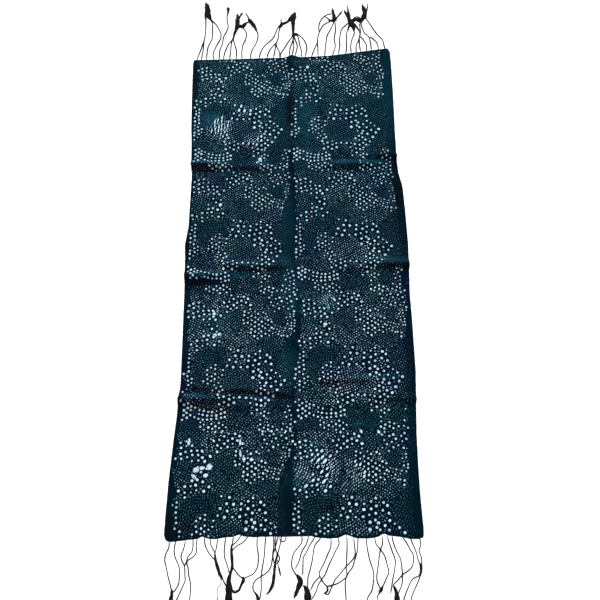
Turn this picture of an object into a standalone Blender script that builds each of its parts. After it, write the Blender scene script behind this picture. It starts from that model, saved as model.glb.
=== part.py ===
# A dyed cotton cloth with a dotted print, lying flat on a surface after long storage in quarters.
# Three cross creases and one faint lengthwise crease stand up from it.
# Both ends carry a warp fringe whose tips are matted into stiff pointed locks.
# X runs across the cloth, Y along it from the near end to the far end, Z up from the surface.

import math
from collections import namedtuple

import bpy
import numpy as np

MM = 0.001

# Driving sizes, in millimetres
CLOTH_THICK = 1.2
COLUMNS = 24
PANEL_ROWS = 5
HEM_ROW = 6.0
CENTRE_HALF = 11.0
PIECE_GAP = 0.4
STRIP_WIDTH = 3.0
STRIP_INSET = 2.5
STRAND_WIDTH = 1.3
STRAND_HEIGHT = 1.2
STRAND_CLEAR = 1.0
STRAND_TOP_SHARE = 0.7
STRAND_TIP_SHARE = 0.6
MOST_LEAN = 1.6
LOCK_HEIGHT = 2.6
LOCK_LENGTH = 62.0
LOCK_WIDEST = 0.35
LEVEL_STEP = 13.0
ROOT_SETTLES = 30.0
HEM_LEVEL_NEAR = -594.0
HEM_LEVEL_FAR = 589.0
FAR_HEM_TURNS = 30.0
FAR_HEM_SLOPE = 0.13

# The outline as it lies: how far each side edge stands out, from the near end to the far end
Edge = namedtuple("Edge", "along out")
LEFT_EDGE = [
    Edge(-598, -247),
    Edge(-586, -256),
    Edge(-543, -256),
    Edge(-481, -254),
    Edge(-417, -250),
    Edge(-351, -245),
    Edge(-317, -244),
    Edge(-280, -241),
    Edge(-199, -242),
    Edge(-72, -244),
    Edge(15, -247),
    Edge(48, -249),
    Edge(95, -243),
    Edge(239, -242),
    Edge(264, -245),
    Edge(323, -247),
    Edge(370, -250),
    Edge(468, -253),
    Edge(569, -255),
    Edge(584, -252),
]
RIGHT_EDGE = [
    Edge(-598, 246),
    Edge(-588, 251),
    Edge(-517, 250),
    Edge(-467, 250),
    Edge(-392, 251),
    Edge(-322, 255),
    Edge(-260, 259),
    Edge(-141, 260),
    Edge(-79, 259),
    Edge(-13, 262),
    Edge(43, 264),
    Edge(137, 263),
    Edge(200, 261),
    Edge(234, 254),
    Edge(272, 252),
    Edge(365, 253),
    Edge(462, 255),
    Edge(564, 256),
    Edge(600, 255),
    Edge(616, 247),
]

# The two hems, from the left edge to the right edge
Hem = namedtuple("Hem", "across along")
NEAR_HEM = [
    Hem(-250, -596),
    Hem(-212, -594),
    Hem(-181, -589),
    Hem(-165, -594),
    Hem(-140, -591),
    Hem(-109, -586),
    Hem(-82, -591),
    Hem(-31, -591),
    Hem(30, -589),
    Hem(48, -593),
    Hem(77, -595),
    Hem(102, -590),
    Hem(120, -595),
    Hem(156, -594),
    Hem(185, -591),
    Hem(210, -596),
    Hem(250, -598),
]
FAR_HEM = [
    Hem(-252, 582),
    Hem(-157, 584),
    Hem(-83, 586),
    Hem(-22, 587),
    Hem(0, 595),
    Hem(24, 588),
    Hem(75, 591),
    Hem(104, 593),
    Hem(168, 603),
    Hem(252, 616),
]

# The cross creases left by folding in quarters, each a few separate ridges.
# A ridge runs through its rows from left to right, and slopes down steeper towards the near end.
Crease = namedtuple("Crease", "across along high")
Ridge = namedtuple("Ridge", "near_slope far_slope rows")
NEAR_QUARTER = [
    Ridge(17, 20, [
        Crease(-262, -315, 14), Crease(-190, -314, 10), Crease(-120, -317, 3), Crease(-95, -317, 0),
    ]),
    Ridge(9, 17, [
        Crease(-230, -292, 0), Crease(-150, -296, 4), Crease(-60, -301, 9), Crease(30, -312, 0),
    ]),
    Ridge(12, 16, [
        Crease(30, -280, 0), Crease(75, -279, 4), Crease(150, -278, 4), Crease(215, -277, 0),
    ]),
    Ridge(12, 14, [
        Crease(20, -331, 0), Crease(50, -332, 6), Crease(78, -331, 6), Crease(110, -330, 0),
    ]),
    Ridge(12, 14, [Crease(140, -317, 0), Crease(211, -320, 5), Crease(270, -321, 9)]),
]
HALF_WAY = [
    Ridge(19, 16, [
        Crease(-262, -32, 12), Crease(-195, -28, 11), Crease(-130, -26, 3), Crease(-110, -26, 0),
    ]),
    Ridge(9, 18, [
        Crease(-205, -8, 0), Crease(-120, -11, 8), Crease(-65, -12, 8), Crease(25, -13, 0),
    ]),
    Ridge(14, 20, [
        Crease(85, -9, 0), Crease(150, -8, 4), Crease(215, -7, 10), Crease(275, -10, 14),
    ]),
]
FAR_QUARTER = [
    Ridge(22, 18, [
        Crease(-262, 261, 14), Crease(-192, 261, 11), Crease(-134, 256, 3), Crease(-110, 255, 0),
    ]),
    Ridge(14, 20, [
        Crease(-175, 258, 0), Crease(-84, 254, 5), Crease(-20, 253, 4), Crease(25, 253, 0),
    ]),
    Ridge(14, 18, [
        Crease(40, 258, 0), Crease(110, 257, 8), Crease(165, 258, 9), Crease(235, 262, 0),
    ]),
    Ridge(12, 18, [Crease(155, 286, 0), Crease(212, 285, 7), Crease(265, 279, 12)]),
]
CROSS_CREASES = [NEAR_QUARTER, HALF_WAY, FAR_QUARTER]

# The bands of closer rows in which the ridges stand
Band = namedtuple("Band", "start end rows")
BANDS = [Band(-348, -256, 15), Band(-54, 12, 11), Band(236, 306, 12)]

# The faint lengthwise crease, from the near hem to the far hem
CENTRE_CREASE = [
    Crease(-19, -592, 0.8),
    Crease(-17, -450, 1.0),
    Crease(-16, -303, 2.0),
    Crease(-13, -160, 0.8),
    Crease(-10, -15, 2.0),
    Crease(-12, 165, 1.0),
    Crease(-2, 267, 2.4),
    Crease(-1, 454, 1.4),
    Crease(0, 595, 3.0),
]

# The fringe strands, left to right: where each lies across the cloth at its root,
# one third out, two thirds out and at its tip, how far it reaches past the hem,
# and how wide its matted lock is, or none
Strand = namedtuple("Strand", "root third two_thirds tip reach lock")
FAR_STRANDS = [
    Strand(-246, -241, -237, -232, 52, 0),
    Strand(-234, -230, -228, -228, 128, 0),
    Strand(-221, -211, -218, -230, 192, 9),
    Strand(-203, -195, -192, -214, 136, 0),
    Strand(-188, -181, -169, -171, 174, 6),
    Strand(-178, -174, -167, -157, 63, 0),
    Strand(-161, -157, -146, -144, 151, 9),
    Strand(-144, -144, -147, -150, 60, 0),
    Strand(-129, -128, -122, -128, 106, 0),
    Strand(-108, -93, -97, -123, 155, 9),
    Strand(-85, -73, -50, -34, 106, 0),
    Strand(-65, -61, -56, -46, 40, 0),
    Strand(-48, -40, -32, -3, 132, 6),
    Strand(-34, -33, -36, -38, 40, 0),
    Strand(-28, -22, -12, -2, 64, 0),
    Strand(-7, -4, -1, 2, 50, 0),
    Strand(1, 4, 5, 9, 145, 7),
    Strand(9, 13, 12, 10, 52, 0),
    Strand(26, 24, 20, 14, 71, 0),
    Strand(34, 38, 33, 20, 72, 0),
    Strand(51, 56, 61, 66, 41, 0),
    Strand(68, 68, 74, 99, 113, 0),
    Strand(85, 92, 109, 110, 161, 9),
    Strand(105, 113, 114, 119, 106, 0),
    Strand(121, 125, 129, 144, 101, 0),
    Strand(140, 145, 154, 151, 162, 11),
    Strand(154, 155, 161, 166, 80, 0),
    Strand(167, 169, 173, 175, 49, 0),
    Strand(179, 179, 182, 178, 76, 0),
    Strand(194, 194, 189, 184, 43, 0),
    Strand(207, 196, 186, 192, 152, 9),
    Strand(226, 223, 217, 208, 34, 0),
    Strand(243, 230, 211, 201, 108, 0),
]
NEAR_STRANDS = [
    Strand(-245, -248, -240, -243, 143, 0),
    Strand(-233, -225, -230, -235, 136, 0),
    Strand(-214, -218, -214, -227, 115, 0),
    Strand(-200, -200, -207, -210, 50, 0),
    Strand(-191, -206, -201, -202, 149, 0),
    Strand(-178, -175, -168, -160, 38, 0),
    Strand(-166, -152, -145, -148, 121, 0),
    Strand(-151, -151, -142, -134, 85, 0),
    Strand(-136, -138, -134, -130, 65, 0),
    Strand(-121, -122, -127, -126, 157, 9),
    Strand(-106, -111, -115, -118, 22, 0),
    Strand(-91, -119, -111, -110, 99, 6),
    Strand(-74, -74, -74, -92, 75, 0),
    Strand(-58, -64, -67, -69, 147, 5),
    Strand(-43, -46, -57, -60, 117, 0),
    Strand(-35, -41, -41, -51, 106, 3),
    Strand(-27, -32, -33, -29, 69, 0),
    Strand(-18, -20, -22, -24, 20, 0),
    Strand(12, -5, 3, -3, 111, 8),
    Strand(26, 18, 9, 4, 56, 0),
    Strand(39, 24, 15, 13, 69, 0),
    Strand(51, 29, 23, 22, 150, 9),
    Strand(69, 61, 48, 31, 89, 0),
    Strand(83, 71, 50, 34, 109, 0),
    Strand(100, 98, 93, 97, 147, 0),
    Strand(113, 114, 103, 99, 98, 0),
    Strand(122, 117, 111, 104, 86, 0),
    Strand(138, 146, 142, 131, 138, 0),
    Strand(154, 160, 156, 154, 113, 0),
    Strand(169, 174, 174, 164, 99, 0),
    Strand(178, 188, 188, 179, 101, 0),
    Strand(188, 203, 194, 190, 151, 9),
    Strand(208, 224, 214, 202, 91, 0),
    Strand(223, 236, 212, 200, 136, 0),
    Strand(243, 240, 224, 213, 141, 0),
]


def between(at, places, values):
    return float(np.interp(at, places, values))


def eased(share):
    share = min(max(share, 0.0), 1.0)
    return share * share * (3.0 - 2.0 * share)


def smooth_between(at, places, values):
    """The value at a place between the rows of a table, eased from row to row."""
    if at <= places[0]:
        return values[0]
    for low, high, a, b in zip(places, places[1:], values, values[1:]):
        if at <= high:
            return a + (b - a) * eased((at - low) / (high - low))
    return values[-1]


def left_edge(along):
    return between(along, [e.along for e in LEFT_EDGE], [e.out for e in LEFT_EDGE])


def right_edge(along):
    return between(along, [e.along for e in RIGHT_EDGE], [e.out for e in RIGHT_EDGE])


def hem_line(across, hem):
    return between(across, [h.across for h in hem], [h.along for h in hem])


def crease_value(across, rows, column):
    return smooth_between(across, [row.across for row in rows], [row[column] for row in rows])


def centre_value(along, column):
    places = [row.along for row in CENTRE_CREASE]
    return smooth_between(along, places, [row[column] for row in CENTRE_CREASE])


def ridge_lift(across, along, ridge):
    """The height of one ridge at a place, from its crest down to nothing over its slopes."""
    first = ridge.rows[0]
    last = ridge.rows[-1]
    if not first.across < across < last.across:
        return 0.0
    away = along - crease_value(across, ridge.rows, 1)
    slope = ridge.far_slope if away > 0 else ridge.near_slope
    return crease_value(across, ridge.rows, 2) * (1.0 - eased(abs(away) / slope))


def lift(across, along):
    """How high the underside stands above the surface: nothing between the creases."""
    away = abs(across - centre_value(along, 0)) / CENTRE_HALF
    total = centre_value(along, 2) * (1.0 - eased(away))
    for ridges in CROSS_CREASES:
        for ridge in ridges:
            total = max(total, ridge_lift(across, along, ridge))
    return total


def column_shares():
    """How far across each column of the cloth lies, with the lengthwise crease at one half."""
    half = COLUMNS // 2
    left = [0.46 * k / (half - 1) for k in range(half)]
    right = [1.0 - share for share in reversed(left)]
    return left + [0.475, 0.5, 0.525] + right


def column_place(share, along):
    """A column bends with the side edges and with the lengthwise crease."""
    left = left_edge(along)
    right = right_edge(along)
    middle = centre_value(along, 0)
    if share <= 0.5:
        return left + (middle - left) * share * 2.0
    return middle + (right - middle) * (share * 2.0 - 1.0)


def row_places():
    """The level places of the rows of the cloth between its hems, near to far."""
    near = NEAR_HEM[0].along + HEM_ROW
    far = FAR_HEM[0].along - HEM_ROW
    rows = []
    start = near
    for band in BANDS:
        rows += [start + (band.start - start) * k / PANEL_ROWS for k in range(PANEL_ROWS)]
        rows += [band.start + (band.end - band.start) * k / band.rows for k in range(band.rows)]
        start = band.end
    rows += [start + (far - start) * k / PANEL_ROWS for k in range(PANEL_ROWS + 1)]
    return rows


def row_along(row, across):
    """Where a row runs at a place across the cloth: it takes on the hems' shape near them."""
    near_level = NEAR_HEM[0].along
    far_level = FAR_HEM[0].along
    near_share = eased((BANDS[0].start - row) / (BANDS[0].start - near_level))
    far_share = eased((row - BANDS[-1].end) / (far_level - BANDS[-1].end))
    near_move = hem_line(across, NEAR_HEM) - near_level
    far_move = hem_line(across, FAR_HEM) - far_level
    return row + near_share * near_move + far_share * far_move


def row_points(row):
    """Where a row meets each column. Columns bend along their way, so each place is refined a few times."""
    line = []
    for share in column_shares():
        across = left_edge(row) + (right_edge(row) - left_edge(row)) * share
        for _ in range(3):
            along = row_along(row, across)
            across = column_place(share, along)
        line.append((across, along))
    return line


def cloth_points():
    """The underside of the cloth as rows of points."""
    rows = [NEAR_HEM[0].along] + row_places() + [FAR_HEM[0].along]
    return [[(x, y, lift(x, y)) for x, y in row_points(row)] for row in rows]


def sheet_mesh(grid, thick):
    """A closed sheet over rows of points, with the same diagonals above and below."""
    high = len(grid)
    wide = len(grid[0])
    points = [point for line in grid for point in line]
    points += [(x, y, z + thick) for x, y, z in points]
    top = high * wide
    faces = []
    for j in range(high - 1):
        for i in range(wide - 1):
            a = j * wide + i
            b = a + 1
            c = a + wide + 1
            d = a + wide
            faces += [(a, c, b), (a, d, c)]
            faces += [(top + a, top + b, top + c), (top + a, top + c, top + d)]
    rim = [i for i in range(wide)]
    rim += [j * wide + wide - 1 for j in range(1, high)]
    rim += [(high - 1) * wide + i for i in range(wide - 2, -1, -1)]
    rim += [j * wide for j in range(high - 2, 0, -1)]
    for here, following in zip(rim, rim[1:] + rim[:1]):
        faces += [(here, following, top + following), (here, top + following, top + here)]
    return points, faces


def strand_place(strand, share):
    """A smooth line through the four places of a strand."""
    nodes = [0.0, 1.0 / 3.0, 2.0 / 3.0, 1.0]
    places = [strand.root, strand.third, strand.two_thirds, strand.tip]
    total = 0.0
    for i, place in enumerate(places):
        weight = 1.0
        for j, node in enumerate(nodes):
            if j != i:
                weight *= (share - node) / (nodes[i] - node)
        total += place * weight
    return total


def lock_share(strand, share):
    """How far a strand has swollen into its matted lock at a share of its reach, from 0 to 1."""
    from_tip = (1.0 - share) * strand.reach / LOCK_LENGTH
    if not strand.lock or from_tip > 1.0:
        return 0.0
    if from_tip < LOCK_WIDEST:
        return eased(from_tip / LOCK_WIDEST)
    return eased((1.0 - from_tip) / (1.0 - LOCK_WIDEST))


def strand_levels(strand):
    return max(1, int(round(strand.reach / LEVEL_STEP)))


def strand_width(strand, number):
    """The width of a strand, measured across the cloth, at one of its levels."""
    count = strand_levels(strand)
    share = number / count
    if strand.lock:
        width = STRAND_WIDTH + (strand.lock - STRAND_WIDTH) * lock_share(strand, share)
    else:
        sideways = strand_place(strand, share) - strand_place(strand, share - 1.0 / count)
        width = STRAND_WIDTH * min(math.hypot(1.0, sideways / LEVEL_STEP), MOST_LEAN)
    return width * STRAND_TIP_SHARE if number == count else width


def keep_clear(present):
    """Moves neighbours apart, each as much as the other, until every pair on a level is clear."""
    moved = True
    while moved:
        moved = False
        for a, b in zip(present, present[1:]):
            short = (a["width"] + b["width"]) / 2.0 + STRAND_CLEAR - (b["place"] - a["place"])
            if short > 1e-4:
                a["place"] -= short / 2.0
                b["place"] += short / 2.0
                moved = True


def spaced_levels(strands):
    """Where each strand crosses each level line past the hem, kept in order and clear of each other."""
    levels = []
    for number in range(1, max(strand_levels(strand) for strand in strands) + 1):
        present = [
            {
                "index": index,
                "place": strand_place(strand, number / strand_levels(strand)),
                "width": strand_width(strand, number),
            }
            for index, strand in enumerate(strands)
            if number <= strand_levels(strand)
        ]
        keep_clear(present)
        levels.append({item["index"]: item for item in present})
    return levels


def strip_stations(strands, hem_points):
    """The places along the strip: both sides of each root, and the cloth's columns between them."""
    half = STRAND_WIDTH / 2.0
    stations = [strands[0].root - STRIP_INSET, strands[-1].root + STRIP_INSET]
    for strand in strands:
        stations += [strand.root - half, strand.root + half]
    for across, _ in hem_points:
        inside = stations[0] < across < stations[1]
        if inside and all(abs(across - station) > STRAND_WIDTH for station in stations):
            stations.append(across)
    return sorted(stations)


def strip_skin(stations, roots, hem_points, outward):
    """The strip as one skin, left open where a strand grows out of its outer wall."""
    corners = [
        (PIECE_GAP, 0.0),
        (PIECE_GAP, CLOTH_THICK),
        (PIECE_GAP + STRIP_WIDTH, CLOTH_THICK),
        (PIECE_GAP + STRIP_WIDTH, 0.0),
    ]
    points = []
    faces = []
    for across in stations:
        along = between(across, [x for x, _ in hem_points], [y for _, y in hem_points])
        base = lift(across, along)
        points += [(across, along + outward * out, base + up) for out, up in corners]
    for station in range(len(stations) - 1):
        a = 4 * station
        b = a + 4
        for i in range(4):
            j = (i + 1) % 4
            if i != 2 or station not in roots:
                faces.append((a + i, b + i, b + j, a + j))
    last = 4 * (len(stations) - 1)
    faces += [(0, 1, 2, 3), (last + 3, last + 2, last + 1, last)]
    return points, faces


def level_along(number, across, outward):
    """How far along the cloth a level line lies: it keeps the slope of its hem."""
    hem = HEM_LEVEL_NEAR
    if outward > 0:
        hem = HEM_LEVEL_FAR + FAR_HEM_SLOPE * max(0.0, across - FAR_HEM_TURNS)
    return hem + outward * number * LEVEL_STEP


def grow_strand(points, faces, strand, index, ring, levels, outward):
    """Draws one strand out of its root, a ring of four points for each level, and closes its tip."""
    root_high = points[ring[0]][2]
    for number in range(1, strand_levels(strand) + 1):
        item = levels[number - 1][index]
        along = level_along(number, item["place"], outward)
        low = root_high * (1.0 - eased(number * LEVEL_STEP / ROOT_SETTLES))
        swell = lock_share(strand, number / strand_levels(strand))
        high = low + STRAND_HEIGHT + (LOCK_HEIGHT - STRAND_HEIGHT) * swell
        half = item["width"] / 2.0
        top = half * STRAND_TOP_SHARE
        new = [len(points) + k for k in range(4)]
        points += [
            (item["place"] - half, along, low),
            (item["place"] + half, along, low),
            (item["place"] + top, along, high),
            (item["place"] - top, along, high),
        ]
        for i in range(4):
            j = (i + 1) % 4
            faces.append((ring[j], ring[i], new[i], new[j]))
        ring = new
    faces.append(tuple(reversed(ring)))


def fringe_mesh(strands, hem_points, outward):
    """A narrow strip along a hem, with its strands drawn out of its outer wall, as one closed skin."""
    stations = strip_stations(strands, hem_points)
    roots = {stations.index(s.root - STRAND_WIDTH / 2.0): index for index, s in enumerate(strands)}
    points, faces = strip_skin(stations, roots, hem_points, outward)
    levels = spaced_levels(strands)
    for station, index in roots.items():
        a = 4 * station
        ring = [a + 3, a + 7, a + 6, a + 2]
        grow_strand(points, faces, strands[index], index, ring, levels, outward)
    return points, faces


def fabric(name, colour, rough):
    made = bpy.data.materials.new(name)
    made.use_nodes = True
    finish = made.node_tree.nodes["Principled BSDF"]
    finish.inputs["Base Color"].default_value = (*colour, 1.0)
    finish.inputs["Roughness"].default_value = rough
    return made


def signed_volume(points, faces):
    total = 0.0
    for face in faces:
        corners = [np.array(points[i], float) for i in face]
        for second, third in zip(corners[1:], corners[2:]):
            total += float(np.dot(corners[0], np.cross(second, third)))
    return total


def make(name, shape, middle, material):
    """One solid of the part, with the middle of the whole outline moved to the origin."""
    points, faces = shape
    mesh = bpy.data.meshes.new(name)
    placed = [((x - middle[0]) * MM, (y - middle[1]) * MM, z * MM) for x, y, z in points]
    mesh.from_pydata(placed, [], faces)
    if signed_volume(points, faces) < 0:
        mesh.flip_normals()
    mesh.materials.append(material)
    made = bpy.data.objects.new(name, mesh)
    bpy.context.scene.collection.objects.link(made)


def middle_of(shapes):
    """The middle of the box around all the shapes, across and along."""
    points = np.array([point for shape in shapes for point in shape[0]])
    return (points.min(axis=0) + points.max(axis=0)) / 2.0


for existing in list(bpy.data.objects):
    bpy.data.objects.remove(existing)

dyed = fabric("dyed_cloth", (0.006, 0.020, 0.035), 0.8)
yarn = fabric("fringe_yarn", (0.012, 0.010, 0.010), 0.85)

cloth = sheet_mesh(cloth_points(), CLOTH_THICK)
fringe_far = fringe_mesh(FAR_STRANDS, row_points(FAR_HEM[0].along), 1.0)
fringe_near = fringe_mesh(NEAR_STRANDS, row_points(NEAR_HEM[0].along), -1.0)
middle = middle_of([cloth, fringe_far, fringe_near])

make("cloth", cloth, middle, dyed)
make("fringe_far", fringe_far, middle, yarn)
make("fringe_near", fringe_near, middle, yarn)
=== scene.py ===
import math
import random
from collections import namedtuple

import bpy
import numpy as np
from mathutils import Matrix, Vector
from mathutils.geometry import delaunay_2d_cdt


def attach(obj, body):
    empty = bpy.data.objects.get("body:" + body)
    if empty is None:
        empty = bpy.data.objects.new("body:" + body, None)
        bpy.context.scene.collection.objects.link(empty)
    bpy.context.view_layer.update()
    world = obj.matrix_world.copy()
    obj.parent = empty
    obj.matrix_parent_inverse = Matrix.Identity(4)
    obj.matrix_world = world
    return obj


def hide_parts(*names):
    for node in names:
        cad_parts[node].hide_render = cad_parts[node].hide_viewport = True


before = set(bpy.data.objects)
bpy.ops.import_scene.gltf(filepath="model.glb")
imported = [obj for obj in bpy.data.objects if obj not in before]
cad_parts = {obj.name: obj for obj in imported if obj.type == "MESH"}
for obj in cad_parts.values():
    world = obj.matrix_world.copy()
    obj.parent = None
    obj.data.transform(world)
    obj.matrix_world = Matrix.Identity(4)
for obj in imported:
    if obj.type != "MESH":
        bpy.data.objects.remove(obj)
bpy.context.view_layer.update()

MM = 0.001
# The middle of the CAD outline, which is the origin of the row frame
MIDDLE = (3.949, 17.0)


def table(columns, rows, spare=0):
    """Rows with named columns. So many of the last columns may be left out where they are zero."""
    row = namedtuple("Row", columns, defaults=[0] * spare)
    return [row(*values) for values in rows]


def yarns(usual, rows):
    """Each yarn's thickness and points. A row may start with a thickness of its own."""
    return [(row[0], row[1:]) if isinstance(row[0], float) else (usual, row) for row in rows]


# The sheet
SHEET_THICK = 0.9
OPEN_STEP = 8.5
CREASE_STEP = 2.5
CREASE_REACH = 42.0
CREASE_WIDEN = 2.2
UNDERSIDE_STEP = 22.0
UNDERSIDE_CREASE_STEP = 5.0
GRID_FROM = -592.0
GRID_TO = 612.0
GRID_MARGIN = 2.4
GRID_SHIFT = 0.25
RIM_STEP = 4.5
RIM_LOOSE = (0.2, 0.25)
RIM_CORNERS = 4
OUTLINE_SEED = 3
CENTRE_HALF = 11.0
PINCH_SHARE = 0.6
PINCH_POWER = 2.2
SLOPE_STEP = 0.8
MAP_SHARE = 0.98
MAP_MARGIN = 0.01
MAP_UNDERSIDE = 0.5
INSIDE_ONLY = 1
MERGED_GAP = 1e-5

# The edges and hems: points marked by eye in the photo, turned into millimetres by a separate script
# and then mostly moved by hand
LEFT_EDGE = table("along across", [
    (-600, -247), (-594, -254), (-584, -257), (-543, -256), (-481, -254), (-417, -250),
    (-351, -245), (-317, -244), (-282, -241), (-199, -242), (-72, -244), (15, -247), (48, -249),
    (95, -243), (239, -242), (264, -245), (323, -247), (370, -250), (468, -253), (569, -255),
    (579, -254), (585, -249),
])
RIGHT_EDGE = table("along across", [
    (-602, 244), (-595, 250), (-578, 251), (-517, 249.5), (-467, 249.5), (-392, 251), (-322, 255),
    (-260, 259), (-141, 260), (-79, 259), (-13, 262), (43, 264), (137, 263), (200, 261), (234, 254),
    (272, 252), (365, 253), (462, 255), (564, 256), (603, 255), (613, 251), (619, 243),
])
NEAR_HEM = table("across along", [
    (-256, -592), (-249, -598), (-238, -598), (-212, -595), (-191, -593), (-181, -588.5),
    (-172, -593), (-158, -594), (-136, -591), (-121, -590), (-111, -585.5), (-101, -589.5),
    (-82, -591), (-46, -590), (-31, -591), (30, -590), (42, -593), (64, -595), (84, -594),
    (95, -589), (101, -588), (109, -592), (122, -595.5), (146, -595.5), (161, -593), (170, -588),
    (175, -587.5), (182, -591), (203, -593), (223, -597.5), (240, -598), (248, -595),
])
FAR_HEM = table("across along", [
    (-252, 582), (-157, 584), (-83, 586), (-22, 587), (0, 595), (24, 588), (75, 591), (104, 593),
    (168, 603), (252, 616),
])
NEAR_LEFT_ALONG = -597.0
NEAR_RIGHT_ALONG = -596.0
FAR_RIGHT_ALONG = 615.0
FAR_LEFT_ALONG = 582.0

# The ridges left by folding in quarters, as in the solids: a crest's rows are across, along and high
RIDGES = table("near_slope far_slope crest", [
    (17, 20, [(-262, -315, 14), (-190, -314, 10), (-120, -317, 3), (-95, -317, 0)]),
    (9, 17, [(-230, -292, 0), (-150, -296, 4), (-60, -301, 9), (30, -312, 0)]),
    (12, 16, [(30, -280, 0), (75, -279, 4), (150, -278, 4), (215, -277, 0)]),
    (12, 14, [(20, -331, 0), (50, -332, 6), (78, -331, 6), (110, -330, 0)]),
    (12, 14, [(140, -317, 0), (211, -320, 5), (270, -321, 9)]),
    (19, 16, [(-262, -32, 12), (-195, -28, 11), (-130, -26, 3), (-110, -26, 0)]),
    (9, 18, [(-205, -8, 0), (-120, -11, 8), (-65, -12, 8), (25, -13, 0)]),
    (14, 20, [(85, -9, 0), (150, -8, 4), (215, -7, 10), (275, -10, 14)]),
    (22, 18, [(-262, 261, 14), (-192, 261, 11), (-134, 256, 3), (-110, 255, 0)]),
    (14, 20, [(-175, 258, 0), (-84, 254, 5), (-20, 253, 4), (25, 253, 0)]),
    (14, 18, [(40, 258, 0), (110, 257, 8), (165, 258, 9), (235, 262, 0)]),
    (12, 18, [(155, 286, 0), (212, 285, 7), (265, 279, 12)]),
])
CREASE_LINES = [-300.0, -15.0, 266.0]
CENTRE_CREASE = table("across along high", [
    (-19, -592, 0.8), (-17, -450, 1), (-16, -303, 2), (-13, -160, 0.8), (-10, -15, 2),
    (-12, 165, 1), (-2, 267, 2.4), (-1, 454, 1.4), (0, 595, 3),
])

# Slight waves of the cloth as it lies
WAVES = table("across along high seed", [
    (120, 90, 1.5, 11), (46, 60, 0.5, 12), (26, 14, 0.35, 13), (9, 7, 0.10, 14),
])
# Random waves that vary other things: their size across and along, and their seed
PATCH_SHIFT_WAVES = (13, 13, 21)
PATCH_DROP_WAVES = (13, 13, 22)
COLUMN_WAVES = (9, 40, 23)
DOT_SIZE_WAVES = (30, 26, 24)
DOT_TONE_WAVES = (55, 45, 25)
SMALL_RAG_WAVES = (16, 7, 71)
LARGE_RAG_WAVES = (40, 12, 72)

# The kinds of dots in the print
Kind = namedtuple("Kind", "pitch rows radius tone stray soft")
GREAT = Kind(13.8, 12.3, 2.42, 1.0, 1.6, 0.16)
LARGE = Kind(11.4, 10.3, 2.15, 1.0, 1.5, 0.16)
DENSE = Kind(9.2, 8.5, 2.10, 1.0, 1.2, 0.16)
SPARSE = Kind(11.6, 10.4, 1.90, 0.95, 1.8, 0.18)
MEDIUM = Kind(9.8, 8.8, 1.85, 1.0, 1.3, 0.18)
SMALL = Kind(8.0, 7.2, 1.50, 0.95, 1.2, 0.20)
FINE = Kind(5.4, 5.5, 0.96, 0.76, 0.65, 0.28)
DIM = Kind(5.6, 5.7, 0.84, 0.64, 0.95, 0.28)
FAINT = Kind(5.8, 6.0, 0.84, 0.64, 1.15, 0.30)
FINE_RADIUS = 1.1
LARGE_CLAIM = 1.12
ARC_REACH = 2.2

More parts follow.
